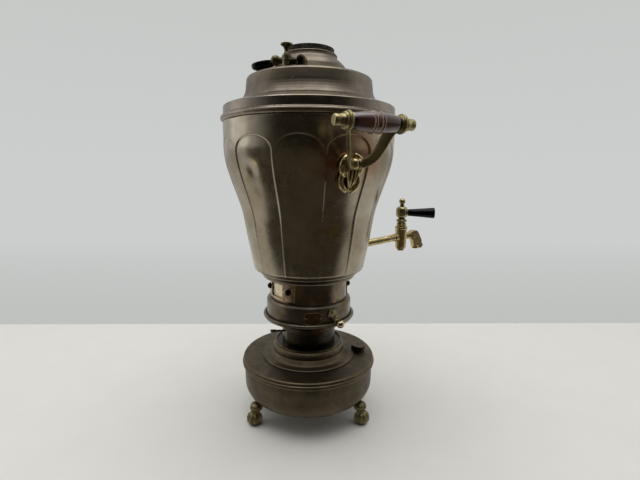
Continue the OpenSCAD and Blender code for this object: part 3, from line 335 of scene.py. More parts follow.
# each finish: the metal, the size of its patches in mm, its roughness from smooth to rough, and
# its colours (base, dark patches, tint, bright, deep, specks)
finishes = {
    # spun brass sheet, never polished: brown-grey tarnish that still mirrors softly
    "vessel": agedMetal(
        "spun brass, tarnished", 70, (0.2, 0.3),
        ("#AEA696", "#928774", "#7F6C50", "#C4B596", "#2A2117", "#C8B98E"),
        tinting=0.4, spun=0.06, scratches=0.25, rub=0.15, grime=0.45, graining=0.12, bump=0.22,
        marks=[(onWall(172, 125, 393), 42, "#7E4C3A", 0.8),
               (onWall(194, 125, 399), 40, "#946A4C", 0.8),
               (onWall(186, 123, 422), 34, "#A08060", 0.6),
               (onWall(123, 121, 398), 7, "#DCC888", 1.2),
               (onWall(176, 97, 310), 16, "#A28D58", 0.6)]),
    # the rim and lid are drawn from the same sheet, handled more and a little browner
    "rim": agedMetal(
        "drawn brass band, tarnished", 70, (0.24, 0.36),
        ("#8C8479", "#756B5F", "#5E5138", "#BFAE88", "#1E1811", "#C8B98E"),
        tinting=0.4, specks=0.12, spun=0.1, scratches=0.3, rub=0.3, graining=0.15, bump=0.25),
    "lid": agedMetal(
        "spun brass lid, tarnished", 60, (0.4, 0.52),
        ("#7C7368", "#645B50", "#5E523C", "#A89A7C", "#2A2117", "#D2C69A"),
        tinting=0.5, specks=0.16, spun=0.08, scratches=0.25, graining=0.15, bump=0.25),
    # oil tank: brass browned to an even dark bronze, dull from years of lamp oil
    "tank": agedMetal(
        "browned brass tank", 50, (0.38, 0.52),
        ("#655A49", "#51483A", "#4A3F2C", "#8A7958", "#15110C", "#9C8F70"),
        tinting=0.5, spun=0.08, graining=0.15, bump=0.25),
    # gallery and burner: thin brass sheet, heated brown and green-grey
    "burner": agedMetal(
        "heat-browned brass sheet", 34, (0.28, 0.42),
        ("#7B7468", "#5A5145", "#5C4A28", "#A58E5E", "#110D08", "#A59A70"),
        tinting=0.7, specks=0.15, spun=0.08, scratches=0.25, graining=0.15, bump=0.25),
    "drum": agedMetal(
        "flame-tinted brass drum", 60, (0.16, 0.26),
        ("#767168", "#5A5248", "#6A5036", "#A08A64", "#0E0A07", "#A58F60"),
        tinting=0.45, specks=0.08, scratches=0.15, graining=0.1, bump=0.2),
    # window plates: rolled brass that kept more of its colour, with a coppery bloom
    "window": agedMetal(
        "rolled brass window plate", 18, (0.24, 0.4),
        ("#A88C74", "#86684F", "#7C5C3C", "#E0CDA8", "#2A1D12", "#D8C8A0"),
        specks=0.2, scratches=0.4),
    # sand-cast brass, golden on the high facets, olive brown in the hollows
    "cast_brass": agedMetal(
        "sand-cast brass", 14, (0.16, 0.28),
        ("#D0BE8C", "#A09268", "#786C48", "#F0E4B8", "#14100A", "#D8C890"),
        specks=0.05, scratches=0.1, rub=0.45, grime=0.95, graining=0.2, bump=0.25),
    "arm": agedMetal(
        "cast brass arm, olive tarnish", 22, (0.32, 0.48),
        ("#8F845E", "#71674A", "#62573A", "#B8A468", "#1C160A", "#B8A878"),
        specks=0.15, scratches=0.3, graining=0.5),
    # turned brass, yellower than the sheet
    "fitting": agedMetal(
        "turned brass fitting", 10, (0.26, 0.42),
        ("#B0A47C", "#867B58", "#6E6342", "#D6C698", "#1C160A", "#C8B888"),
        tinting=0.5, rub=0.35, graining=0.15, bump=0.25),
    "tap": agedMetal(
        "cast and turned tap brass", 16, (0.22, 0.34),
        ("#D2C090", "#AA986C", "#8C7C52", "#EDDDA8", "#2A2010", "#DCC890"),
        tinting=0.4, specks=0.06, scratches=0.1, rub=0.3, grime=0.5, graining=0.15, bump=0.2),
    "feet": agedMetal(
        "cast brass foot, olive tarnish", 12, (0.36, 0.55),
        ("#887D5C", "#665C42", "#544B32", "#A0905C", "#110D06", "#A89868"),
        specks=0.15, scratches=0.15, grain=1.1, graining=0.8),
    "plate": agedMetal(
        "stamped brass plate", 9, (0.32, 0.5),
        ("#6A4E3A", "#4C3829", "#6E5034", "#A08A5C", "#120D06", "#907C50"),
        rub=0.1),
    # flue and collar: sheet iron, black with soot, dull and dusty
    "soot": agedMetal(
        "sooted sheet iron", 16, (0.6, 0.85),
        ("#24201B", "#12100D", "#3C3226", "#5A503E", "#080604", "#6A6352"),
        metallic=0.4, tinting=0.5, specks=0.25, scratches=0.25, graining=0.9),
    # vent: cast brass in the steam, dark olive with spots of green
    "vent": agedMetal(
        "steam-darkened cast brass", 8, (0.28, 0.48),
        ("#6A6348", "#474233", "#3A3524", "#B8AC86", "#0E0B07", "#8E8A6A"),
        tinting=0.7, specks=0.4, speckGap=5.0, rub=0.8, graining=0.5),
    # filler cap: knurled brass gone nearly black with lamp oil
    "cap": agedMetal(
        "oil-blackened brass cap", 10, (0.36, 0.5),
        ("#4E4639", "#3A342A", "#332C22", "#7C6F54", "#080604", "#8E8466")),
    # latch ball: rubbed pale and bright by the thumb
    "ball": agedMetal(
        "thumb-polished brass ball", 5, (0.14, 0.28),
        ("#D8CDB0", "#B8AA88", "#9A8A62", "#F4ECD4", "#3A301C", "#8A7C58"),
        tinting=0.4, specks=0.2, graining=0.2),
    "black": turnedBlack(), "grip": lacqueredWood(), "mica": splitMica(), "wick": wovenWick(),
}
ownFinish = {"vent_body": "vent", "vent_key": "vent", "filler_cap": "cap", "latch_ball": "ball",
             "latch_lever": "ball", "tap_finial": "fitting"}
for name, piece in nodes.items():
    for held in piece.material_slots:
        held.material = finishes[ownFinish.get(name, held.material.name.split(".")[0])]
print("finishes made:", len(finishes))


# meshes

def meshObject(name, verts, faces):  # verts in mm
    mesh = bpy.data.meshes.new(name)
    mesh.from_pydata((np.asarray(verts, float) / 1000).tolist(), [], [list(f) for f in faces])
    mesh.polygons.foreach_set("use_smooth", [True] * len(mesh.polygons))
    mesh.update()
    piece = bpy.data.objects.new(name, mesh)
    scene.collection.objects.link(piece)
    return piece


def settle(piece, body, slotName, *replaced):
    piece.data.materials.clear()
    piece.data.materials.append(finishes[slotName])
    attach(piece, body)
    if replaced:
        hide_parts(*replaced)


def lattice(columns, rows, closed):  # faces between rings of points, the rings closed or open
    pairs = [(k, (k + 1) % rows) for k in range(rows if closed else rows - 1)]
    return [(i * rows + k, (i + 1) % columns * rows + k, (i + 1) % columns * rows + j, i * rows + j)
            for i in range(columns) for k, j in pairs]


def turned(outline, around):  # a form turned about Z from points of radius and height
    turns = [2 * pi * i / around for i in range(around)]
    return ([polar(r, a, z) for a in turns for r, z in outline],
            lattice(around, len(outline), False))


def ball(radius, stretch):
    arc = [pi * k / 16 for k in range(17)]
    verts, faces = turned([(radius * sin(a), -radius * cos(a)) for a in arc], 32)
    return [tuple(v * s for v, s in zip(point, stretch)) for point in verts], faces


def disc(radius, half, bevel, edge):  # outline of a disc with a bevelled rim
    return [(0, -half), (radius - bevel, -half), (radius, -edge), (radius, edge),
            (radius - bevel, half), (0, half)]


def strand(points, widths, depths, side, square, around):  # a bar, its width along side
    points, side = [Vector(p) for p in points], Vector(side).normalized()
    last = len(points) - 1
    verts = [tuple(points[0])]
    for i, point in enumerate(points):
        along = (points[min(i + 1, last)] - points[max(i - 1, 0)]).normalized()
        across = (side - along * side.dot(along)).normalized()
        up = along.cross(across)
        for k in range(around):
            c, s = cos(2 * pi * k / around), sin(2 * pi * k / around)
            x = copysign(abs(c) ** (2 / square), c) * widths[i] / 2
            y = copysign(abs(s) ** (2 / square), s) * depths[i] / 2
            verts.append(tuple(point + across * x + up * y))
    verts.append(tuple(points[last]))
    turn = [(k, (k + 1) % around) for k in range(around)]
    faces = [(0, 1 + j, 1 + k) for k, j in turn]
    for i in range(last):
        a, b = 1 + i * around, 1 + (i + 1) * around
        faces += [(a + k, a + j, b + j, b + k) for k, j in turn]
    a = 1 + last * around
    faces += [(a + k, a + j, len(verts) - 1) for k, j in turn]
    return verts, faces


def prism(outline, low, high):  # an outline in X and Z, thick along Y
    n = len(outline)
    verts = [(x, y, z) for y in (low, high) for x, z in outline]
    faces = [tuple(range(n)), tuple(range(2 * n - 1, n - 1, -1))]
    return verts, faces + [(k + n, (k + 1) % n + n, (k + 1) % n, k) for k in range(n)]


def joined(shapes):  # shapes, each with its own frame, as one list of points and faces
    verts, faces = [], []
    for (points, sides), place in shapes:
        first = len(verts)
        verts += [tuple(place @ Vector(point)) for point in points]
        faces += [tuple(first + k for k in side) for side in sides]
    return verts, faces


def weld(piece, sharp=None):  # joins doubled points, turns faces outwards, keeps crisp edges crisp
    work = bmesh.new()
    work.from_mesh(piece.data)
    bmesh.ops.remove_doubles(work, verts=work.verts, dist=1e-6)
    bmesh.ops.dissolve_degenerate(work, edges=work.edges, dist=1e-6)
    bmesh.ops.recalc_face_normals(work, faces=work.faces)
    if sharp:
        for edge in work.edges:
            crisp = len(edge.link_faces) == 2 and edge.calc_face_angle(0) >= radians(sharp)
            edge.smooth = not crisp
    work.to_mesh(piece.data)
    work.free()
    return piece


def madeFrom(name, shapes, sharp=40):
    return weld(meshObject(name, *joined(shapes)), sharp)


def melted(name, shapes, grain, rounds):  # shapes under one softened skin, as in a casting
    piece = weld(meshObject(name, *joined(shapes)))
    skin = piece.modifiers.new("skin", "REMESH")
    skin.mode, skin.voxel_size, skin.use_smooth_shade = "VOXEL", grain / 1000, True
    soft = piece.modifiers.new("soft", "SMOOTH")
    soft.factor, soft.iterations = 0.5, rounds
    skinned = piece.evaluated_get(bpy.context.evaluated_depsgraph_get())
    mesh = bpy.data.meshes.new_from_object(skinned)
    piece.modifiers.clear()
    piece.data = mesh
    return piece


def arcPoints(x, y, radius, start, end, steps):
    turns = [radians(start + (end - start) * k / steps) for k in range(steps + 1)]
    return [(x + radius * cos(t), y + radius * sin(t)) for t in turns]


def curved(line, steps=4):  # a smooth curve through places, each point with its share of the way
    last, points = len(line) - 1, []
    for k in range(steps * last + 1):
        i = min(k // steps, last - 1)
        f, a, b = k / steps - i, line[i], line[i + 1]
        o, n = line[max(i - 1, 0)], line[min(i + 2, last)]
        spot = [0.5 * (2 * a[c] + (b[c] - o[c]) * f
                       + (2 * o[c] - 5 * a[c] + 4 * b[c] - n[c]) * f * f
                       + (3 * a[c] - o[c] - 3 * b[c] + n[c]) * f ** 3) for c in (0, 1)]
        points.append((*spot, k / (steps * last)))
    return points


def spin(turn, axis="Z"):
    return Matrix.Rotation(radians(turn), 4, axis)


def move(x, y, z):
    return Matrix.Translation((x, y, z))


# vessel: a spun wall with twelve arched panels between fine ribs

vessel = {
    "bottom": 240.6, "waist": 314.6, "shoulder": 416.6, "top": 453.6, "bottomRadius": 84.5,
    "waistRadius": 98, "radius": 125, "panels": 12, "archTop": 431.4, "archRise": 0.64,
    "ribHalf": 0.7, "ribFoot": 3.4, "sink": 1.2, "swell": 0.7, "swellOver": 20,
    "softLow": 0.3, "crispFrom": 150,   # share of the sink at the foot, and where it is whole
    "sheet": 2.4, "behind": 1.2,        # the inner face keeps clear of the panels
    "unevenSize": 42, "uneven": 0.35, "evenEnds": 12,
    # dents: turn, height, width, depth
    "dents": [(117.4, 387, 9, 2.2), (118.8, 362, 7, 0.8), (126, 405, 6, 0.8), (205, 397, 14, 1.2),
              (160, 297, 18, 0.7), (60, 347, 14, 1.3), (330, 287, 12, 1.0)],
    "across": 36, "rows": (64, 9, 13, 14), "archRows": (-20, -4, 2), "innerRows": 24,
}


def vesselRadius(z):
    low, mid, high = vessel["bottom"], vessel["waist"], vessel["shoulder"]
    spans = ((low, mid, vessel["bottomRadius"], vessel["waistRadius"], 0.22, 0.15),
             (mid, high, vessel["waistRadius"], vessel["radius"], 0.15, 0))
    for start, end, r0, r1, s0, s1 in spans:
        if z <= end:
            t, h = (z - start) / (end - start), end - start
            return ((2 * t ** 3 - 3 * t ** 2 + 1) * r0 + (t ** 3 - 2 * t ** 2 + t) * h * s0
                    + (3 * t ** 2 - 2 * t ** 3) * r1 + (t ** 3 - t ** 2) * h * s1)
    return vessel["radius"]


def smooth(t):
    t = min(1, max(0, t))
    return t * t * (3 - 2 * t)


def panelDepth(u, z, radius):  # how far the wall lies inside the ribs, at u across a panel
    half = pi / vessel["panels"] * radius
    top = pi / vessel["panels"] * vessel["radius"]
    spring = vessel["archTop"] - top * vessel["archRise"]
    inside = (1 - abs(u)) * half
    if z > spring:
        inside = top - hypot(u * top, (z - spring) / vessel["archRise"])
    if inside <= vessel["ribHalf"]:
        return 0
    foot = smooth((inside - vessel["ribHalf"]) / (vessel["ribFoot"] - vessel["ribHalf"]))
    swell = smooth((inside - vessel["ribFoot"]) / vessel["swellOver"])
    crisp = smooth((z - vessel["bottom"]) / vessel["crispFrom"])
    sink = vessel["sink"] * (vessel["softLow"] + (1 - vessel["softLow"]) * crisp)
    return foot * sink - swell * vessel["swell"]


def flutedWall():
    low, high, panels = vessel["bottom"], vessel["top"], vessel["panels"]
    steps = vessel["across"]
    across = [sin(radians(-90 + 180 * i / steps)) for i in range(steps)]
    columns = [(k + u / 2, u) for k in range(panels) for u in across]
    rise = pi / panels * vessel["radius"] * vessel["archRise"]
    loops = []
    for turn, u in columns:
        angle = turn * 2 * pi / panels
        arch = vessel["archTop"] - rise * (1 - sqrt(max(0, 1 - u * u)))
        stops = [low] + [arch + off for off in vessel["archRows"]] + [high]  # finest at the arch
        heights = [low]
        for start, end, count in zip(stops, stops[1:], vessel["rows"]):
            heights += list(np.linspace(start, end, count)[1:])
        column = []
        for z in heights:
            radius = vesselRadius(z)
            r = radius - panelDepth(u, z, radius)
            spot = Vector(polar(radius, angle, z)) / vessel["unevenSize"]
            fade = smooth((high - z) / vessel["evenEnds"]) * smooth((z - low) / vessel["evenEnds"])
            r -= fade * vessel["uneven"] * (0.5 + noise.noise(spot) + 0.3 * noise.noise(spot * 3.1))
            for at, height, width, deep in vessel["dents"]:
                away = remainder(angle - radians(at), 2 * pi) * radius
                r -= deep * exp(-(away ** 2 + (z - height) ** 2) / width ** 2)
            column.append((r, z))
        inner = [(vesselRadius(z) - vessel["sheet"] - vessel["behind"], z)
                 for z in np.linspace(high, low, vessel["innerRows"])]
        for end in (0, -1):
            inner[end] = (inner[end][0] + vessel["behind"], inner[end][1])
        loops.append([polar(r, angle, z) for r, z in column + inner])
    return meshObject("fluted_wall", [vert for loop in loops for vert in loop],
                      lattice(len(columns), len(loops[0]), True))


# the ring that carries the wall: a rolled foot, a groove and a flat lip
ring = {
    "low": 223.9, "around": 180, "foot": ((62.5, 0), (66, 0)), "roll": (68.2, 5.2, 3.6),
    "edge": ((70.6, 8.9), (75.6, 9.4), (77, 10.6), (77.3, 12.6), (76.5, 14.4), (77, 15.6),
             (83.6, 15.7), (83.6, 16.5), (75, 16.5), (75, 11), (66, 10), (66, 1.2), (62.5, 1.2)),
}


def spunRing():
    at, up, roll = ring["roll"]
    line = list(ring["foot"]) + arcPoints(at, up, roll, -80, 50, 9) + list(ring["edge"])
    shape = turned([(r, ring["low"] + z) for r, z in line], ring["around"])
    settle(madeFrom("spun_base_ring", [(shape, spin(0))], 50), "vessel", "rim", "base_ring")


spunRing()
settle(flutedWall(), "vessel", "vessel", "body_shell")
print("fluted wall made")


# handles: cast roots with a leaf ornament, flat arms, turned grips between stepped nuts

handle = {
    "gripAt": 177, "gripHeight": 438.6, "pinAt": 134.03, "pinHeight": 394.6, "rise": 44,
    "grip": 61, "endRadius": 8.2, "midRadius": 11.4, "beads": (-5, 5), "beadRadius": 1.5, "rod": 3,
    "armOff": 6, "eyeOff": 34.5, "armWidth": 15, "armThick": 5, "eye": 11.25, "eyeThick": 4,
    "knuckle": 7.2, "ferrule": 9.6, "nut": 7, "nutLength": 15.5, "wall": 119.4,
    "outward": (0.66, 0.54), "upward": (0.05, 0.92),   # how the arm bends on its way to the grip
}


def gripFrame(turn):  # Z along the grip
    return spin(turn) @ move(handle["gripAt"], 0, handle["gripHeight"]) @ spin(-90, "X")


def turnedGrip(turn, side):
    half, bead, rod = handle["grip"] / 2, handle["beadRadius"], handle["rod"]
    end, mid = handle["endRadius"], handle["midRadius"]
    outline = [(rod, -half), (end - 0.8, -half), (end, -half + 0.8)]
    for k in range(1, 25):
        y = -half + 0.8 + (2 * half - 1.6) * k / 25
        if min(abs(y - at) for at in handle["beads"]) > bead + 0.9:
            outline.append((end + (mid - end) * cos(pi / 2 * y / half) ** 0.8, y))
    for at in handle["beads"]:   # each bead stands between two fine grooves
        low, high = at - bead, at + bead
        outline += [(mid - 0.1, low - 0.75), (mid - 0.7, low - 0.4), (mid - 0.7, low)]
        outline += [(mid - 0.3 + r, at + y) for r, y in arcPoints(0, 0, bead, -85, 85, 8)]
        outline += [(mid - 0.7, high), (mid - 0.7, high + 0.4), (mid - 0.1, high + 0.75)]
    outline = sorted(outline, key=lambda point: point[1])
    outline += [(end, half - 0.8), (end - 0.8, half), (rod, half), (rod, -half)]
    settle(madeFrom("turned_grip_" + side, [(turned(outline, 72), gripFrame(turn))], 50),
           "vessel", "grip", "handle_grip_" + side)


def armLine(t):  # the arm's middle, as distance out and height above the root pin
    u = 1 - t
    long = hypot(handle["gripAt"] - handle["pinAt"], handle["eyeOff"] - handle["armOff"])
    (out0, out1), (up0, up1) = handle["outward"], handle["upward"]
    return (long * (3 * u * u * t * out0 + 3 * u * t * t * out1 + t ** 3),
            handle["rise"] * (3 * u * u * t * up0 + 3 * u * t * t * up1 + t ** 3))


def castArms(turn, name):
    reach, climb = handle["gripAt"] - handle["pinAt"], handle["eyeOff"] - handle["armOff"]
    length, shapes, steps = hypot(reach, climb), [], 24
    for side in (1, -1):
        points = []
        for k in range(steps + 1):
            out, up = armLine(k / steps)
            points.append((handle["pinAt"] + reach * out / length,
                           side * (handle["armOff"] + climb * out / length),
                           handle["pinHeight"] + up))
        across = Vector((-climb * side, reach, 0))   # square to the plane that the arm lies in
        widths = [handle["armThick"] * (1 - 0.12 * sin(pi * k / steps))
                  for k in range(steps + 1)]
        depths = [handle["armWidth"] * (0.76 + 0.24 * k / steps) for k in range(steps + 1)]
        shapes.append((strand(points, widths, depths, across, 5, 28), spin(turn)))
        eye = disc(handle["eye"], handle["eyeThick"] / 2, 0.9, 1.1)
        shapes.append((turned(eye, 56), gripFrame(turn) @ move(0, 0, side * handle["eyeOff"])))
        at = move(handle["pinAt"], side * handle["armOff"], handle["pinHeight"])
        shapes.append((turned(disc(handle["knuckle"], 2.5, 0.7, 1.9), 40),
                       spin(turn) @ at @ spin(90, "X")))
    settle(melted("cast_arms_" + name, shapes, 0.7, 3), "vessel", "arm", "handle_arms_" + name)


def rootPoint(y, v, lift):  # a place lifted off the vessel's wall, y across, v above the pin
    radius = vesselRadius(handle["pinHeight"] + v) + lift
    return (sqrt(radius ** 2 - y ** 2), y, v)


leaf = {
    # the back plate: arcs of its edge, its middle, its thickness, its bevel and its gap to the wall
    "edge": ((0, -24, 7, 180, 360, 10), (0, -10, 11, -20, 20, 4), (0, 3, 8.5, 10, 170, 14),
             (0, -10, 11, 160, 200, 4)),
    "middle": -10, "plate": 2.2, "plateEdge": 1.8, "gap": 0.25,
    # raised parts of one half: places (across, up), widths, depths, lift
    "half": (
        # a pointed leaf
        (((3, 12), (8.5, 7), (11.6, -1), (10.6, -9), (7, -16)),
         (3, 10, 13, 11, 3), (4, 9, 12, 10, 4), 4.4),
        # a hooked scroll under it
        (((11.5, -13), (12, -19), (10, -26), (5.2, -31.4), (0.8, -30.4), (1.6, -26)),
         (5, 8, 9, 8, 6, 4), (5, 9, 11, 10, 7, 4), 4.6),
        # the outer rib of the fan
        (((6.4, 2), (6.6, -8), (5, -18), (1.8, -27)), (3, 3.8, 3.6, 2.4), (7, 12, 11, 6), 6.5),
    ),
    "inner": (((2.2, 4), (2.31, -9), (1.87, -19), (0.77, -28)),
              (2.6, 3.4, 3.2, 2.2), (8, 13, 12, 6), 7.5),
    "arch": 1.6,
    # the lug between the arms: a barrel round the pin on a stout neck
    "neckWide": (6, 6, 6.4, 7, 8.4, 10, 12), "neckDeep": (10, 11, 12, 14, 16, 18, 20),
    "barrel": ((0, -3.2), (6.4, -3.2), (7, -2.6), (7.3, 0), (7, 2.6), (6.4, 3.2), (0, 3.2)),
}


def leafRoot(turn, name):
    stand = spin(turn) @ move(0, 0, handle["pinHeight"])   # X out from the wall under the pin
    shapes = []

    def vein(side, line, widths, depths, lift):
        points = curved([(side * y, v) for y, v in line])
        path = [rootPoint(y, v, lift + leaf["arch"] * sin(pi * t)) for y, v, t in points]
        wide, deep = [[np.interp(t, np.linspace(0, 1, len(sizes)), sizes) for y, v, t in points]
                      for sizes in (widths, depths)]
        shapes.append((strand(path, wide, deep, (0, 1, 0.001), 2.2, 14), stand))

    edge = [spot for arc in leaf["edge"] for spot in arcPoints(*arc)]
    middle, plate, count = leaf["middle"], leaf["plate"], len(edge)
    rings = [[(y * s, middle + (v - middle) * s) for y, v in edge] for s in (1, 0.75, 0.5, 0.25)]
    verts = [rootPoint(0, middle, plate)]
    verts += [rootPoint(y, v, leaf["plateEdge"]) for y, v in rings[0]]
    verts += [rootPoint(y, v, plate) for line in rings[1:] for y, v in line]
    verts += [rootPoint(y, v, leaf["gap"]) for y, v in rings[0] + [(0, middle)]]
    around, back = [(k, (k + 1) % count) for k in range(count)], 1 + 4 * count
    faces = []
    for i in range(3):
        a, b = 1 + i * count, 1 + (i + 1) * count
        faces += [(a + k, a + j, b + j, b + k) for k, j in around]
    faces += [(0, 1 + 3 * count + k, 1 + 3 * count + j) for k, j in around]
    faces += [(1 + j, 1 + k, back + k, back + j) for k, j in around]
    faces += [(back + j, back + k, back + count) for k, j in around]
    shapes.append(((verts, faces), stand))
    for side in (1, -1):
        for part in leaf["half"]:
            vein(side, *part)
    for side in (-1, 1):
        vein(side, *leaf["inner"])
    pin = handle["pinAt"]
    neck = [(pin - k * (pin - handle["wall"]) / 6, 0, -0.7 * k) for k in range(7)]
    shapes.append((strand(neck, leaf["neckWide"], leaf["neckDeep"], (0, 1, 0), 3, 24), stand))
    shapes.append((turned(leaf["barrel"], 40), stand @ move(pin, 0, 0) @ spin(90, "X")))
    settle(melted("leaf_root_" + name, shapes, 0.42, 2), "vessel", "cast_brass",
           "handle_root_" + name)


def gripFittings():
    nut, length = handle["nut"], handle["nutLength"]
    outline = [(0, 0), (8.9, 0), (9.4, 0.5), (9.4, 2.4), (8.9, 3), (nut + 0.4, 3.1), (nut, 3.7),
               (nut - 0.1, length * 0.5), (nut - 0.6, length * 0.56), (nut - 0.5, length * 0.62)]
    outline += arcPoints(nut - 2.3, length - 1.9, 1.9, 5, 85, 6)
    outline += [(nut - 3.4, length), (0, length)]
    outline = [(r, min(z, length)) for r, z in outline]
    rim = handle["ferrule"]
    washer = [(0, 0), (rim - 0.7, 0), (rim, 0.4), (rim - 0.25, 1), (rim, 1.5), (rim - 0.7, 2),
              (0, 2)]
    face = handle["eyeOff"] + handle["eyeThick"] / 2
    nuts, washers = [], []
    for turn in (0, 180):
        for flip in (0, 180):
            end = gripFrame(turn) @ spin(flip, "X")
            nuts.append((turned(outline, 56), end @ move(0, 0, face)))
            washers.append((turned(washer, 56), end @ move(0, 0, handle["grip"] / 2)))
    settle(madeFrom("grip_nuts", nuts, 35), "vessel", "fitting", "handle_nuts")
    settle(madeFrom("grip_ferrules", washers, 35), "vessel", "fitting", "handle_ferrules")


for turn, side in ((180, "left"), (0, "right")):
    turnedGrip(turn, side)
    castArms(turn, side)
    leafRoot(turn, side)
gripFittings()
print("handles made")


# paw feet: a ball gripped by claws, a ringed ankle and a knee that bears on the tank

paw = {
    "feet": ((96, "rear"), (216, "left"), (336, "right")), "at": 95,
    "ball": 11.6, "ballHeight": 9.9, "flat": 0.86,
    "claws": (-72, -36, 0, 36, 72, 118, -118), "claw": 4.4, "clawIn": 0.9, "clawKnuckle": 0.7,
    "tank": 101.5, "corner": 24, "underside": 33, "knee": 29.4, "kneeRadius": 9.8, "lobe": 4.6,
    "ankle": ((0, 13), (8.4, 13), (7.4, 17), (6.2, 20.4), (6, 22), (6.6, 24), (7.2, 27), (0, 31)),
}


def tankUnder(radius):  # height of the tank's underside at a distance from the axis
    inward = max(0, min(radius, paw["tank"]) - paw["tank"] + paw["corner"])
    return paw["underside"] + paw["corner"] - sqrt(paw["corner"] ** 2 - inward ** 2)


def clawFoot(turn, name):
    at, low, r, knee = paw["at"], paw["ballHeight"], paw["ball"], paw["knee"]
    stand = spin(turn) @ move(at, 0, 0)
    shapes = [(ball(r, (1, 1, paw["flat"])), stand @ move(0, 0, low))]
    for claw in paw["claws"]:
        path, width = [], []
        for k in range(15):
            a = radians(62 - 138 * k / 14)   # down over the ball, from the ankle to the table
            out = r - paw["clawIn"] + paw["clawKnuckle"] * sin(3 * pi * k / 14) ** 2
            path.append((out * cos(a), 0, low + paw["flat"] * out * sin(a)))
            width.append(paw["claw"] * (0.72 + 0.28 * sin(pi * (k + 2) / 14)))
        shapes.append((strand(path, width, [w * 0.8 for w in width], (0, 1, 0), 2.2, 14),
                       stand @ spin(claw)))
    shapes.append((turned(paw["ankle"], 40), stand @ move(-1, 0, 0)))
    shapes.append((ball(paw["kneeRadius"], (1, 1.06, 0.72)), stand @ move(-3, 0, knee - 1.4)))
    for lobe in (-1, 0, 1):   # leaf lobes of the knee
        place = move(-1.5 + paw["lobe"] * (1 - abs(lobe)), 5.4 * lobe, knee - 1)
        shapes.append((ball(paw["lobe"], (1, 0.8, 1.1)), stand @ place))
    pad = [(-4 - 2.6 * k, 0, min(knee + 2.2 * k, tankUnder(at - 4 - 2.6 * k) - 1.2))
           for k in range(4)]
    shapes.append((strand(pad, (13, 13.6, 13, 12), (9, 7, 5, 3), (0, 1, 0), 2.4, 24), stand))
    piece = melted("claw_foot_" + name, shapes, 0.5, 1)
    for vert in piece.data.vertices:   # filed flat on the table and to the tank
        x, y, z = vert.co
        vert.co.z = max(z, 0.0)
        top = tankUnder(1000 * hypot(x, y)) / 1000 - 0.0002
        if hypot(x, y) < paw["tank"] / 1000 and vert.co.z > top:
            vert.co.z = top
    settle(piece, "lamp", "feet", "paw_foot_" + name)


for turn, side in paw["feet"]:
    clawFoot(turn, side)
print("feet made")


# tap: cast barrel with a hooked spout, black turned lever

tap = {
    "at": 175, "height": 275.1, "slope": 6, "top": 18, "barrel": 37.5, "barrelRadius": 9.85,
    "flange": 10.5, "stub": 6.8, "stubLength": 14, "nose": 46, "spoutWidth": 10.6,
    "spoutBevel": 1.6, "pipe": 5.9, "bore": 4, "pipeEnd": 94, "bruise": 0.18, "hubRadius": 10,
    "hub": 33, "hubHeight": 19, "leverTurn": -32, "lever": 44.5, "leverRoot": 5.9, "leverEnd": 9,
    "plug": 7.2, "plugFoot": 6.1,
    # the hooked head, back from its nose, and the mouth under it
    "head": ((27, 7), (24.5, 9.4), (18, 10.2), (14.5, 9.6), (11, 5), (5.5, -5), (3.4, -10),
             (4, -12.4), (1.4, -15.4), (0.4, -18.6), (5, -23), (21.4, -18.4), (20.4, -15.6),
             (21.6, -12), (23, -8), (26.5, -5.6)),
    "mouth": ((0, -22.6), (6.1, -22.6), (6.5, -21), (6.2, -18), (0, -17)), "mouthAt": 14,
    "pin": ((0, 0), (2.4, 0), (2.5, 0.2), (2.5, 25.6), (2.2, 26), (0, 26)),   # carries the lever
}
atTap = spin(-90) @ move(tap["at"], 0, tap["height"])
alongPipe = atTap @ spin(-tap["slope"] - 90, "Y")
leverHeight = tap["hub"] + tap["hubHeight"] / 2 - 0.5


def castTap():
    top, foot, barrel = tap["top"], tap["top"] - tap["barrel"], tap["barrelRadius"]
    flange, nose, half = tap["flange"], tap["nose"], tap["spoutWidth"] / 2
    body = [(0, foot), (barrel - 1.5, foot), (barrel - 0.95, foot + 0.7), (barrel - 0.1, top - 5),
            (flange - 0.3, top - 4.2), (flange, top - 3.6), (flange, top - 0.5),
            (flange - 0.5, top), (0, top)]
    head = [(nose - x, z) for x, z in tap["head"]]
    neck = strand([(6, 0, 1), (13, 0, 1), (nose - 26, 0, 0.8), (nose - 20, 0, 0.4)],
                  (11, 10.4, 10.8, 11.4), (12.4, 11.4, 12, 13.4), (0, 1, 0), 3.6, 28)
    middle = [(x * 0.98 + 0.02 * nose, z * 0.97) for x, z in head]
    narrow = half - tap["spoutBevel"]
    stub, end = tap["stub"], tap["stubLength"]
    sleeve = [(0, 0), (stub, 0), (stub, end - 2), (stub + 0.2, end - 1.4), (stub, end - 0.2),
              (0, end)]
    shapes = [(turned(body, 64), atTap), (neck, atTap), (prism(middle, -half, half), atTap),
              (prism(head, -narrow, narrow), atTap),
              (turned(tap["mouth"], 40), atTap @ move(nose - tap["mouthAt"], 0, 0)),
              (turned(sleeve, 40), alongPipe)]
    settle(melted("cast_tap_body", shapes, 0.36, 1), "vessel", "tap", "tap_barrel")


def tapPipe():   # drawn tube, a little bruised, from the barrel into the vessel
    rings, around, verts = 40, 32, []
    start, end = tap["stubLength"], tap["pipeEnd"]
    turns = [2 * pi * i / around for i in range(around)]
    for k in range(rings + 1):
        z = start + (end - start) * k / rings
        for a in turns:
            r = tap["pipe"] + tap["bruise"] * noise.noise(Vector(polar(3, a, z)) / 5)
            verts.append(polar(r, a, z))
    verts += [polar(tap["bore"], a, z) for z in (end, start) for a in turns]
    loops = rings + 3
    faces = [(k * around + i, k * around + (i + 1) % around,
              (k + 1) % loops * around + (i + 1) % around, (k + 1) % loops * around + i)
             for k in range(loops) for i in range(around)]
    settle(madeFrom("tap_pipe", [((verts, faces), alongPipe)], 60), "vessel", "tap", "tap_shank")


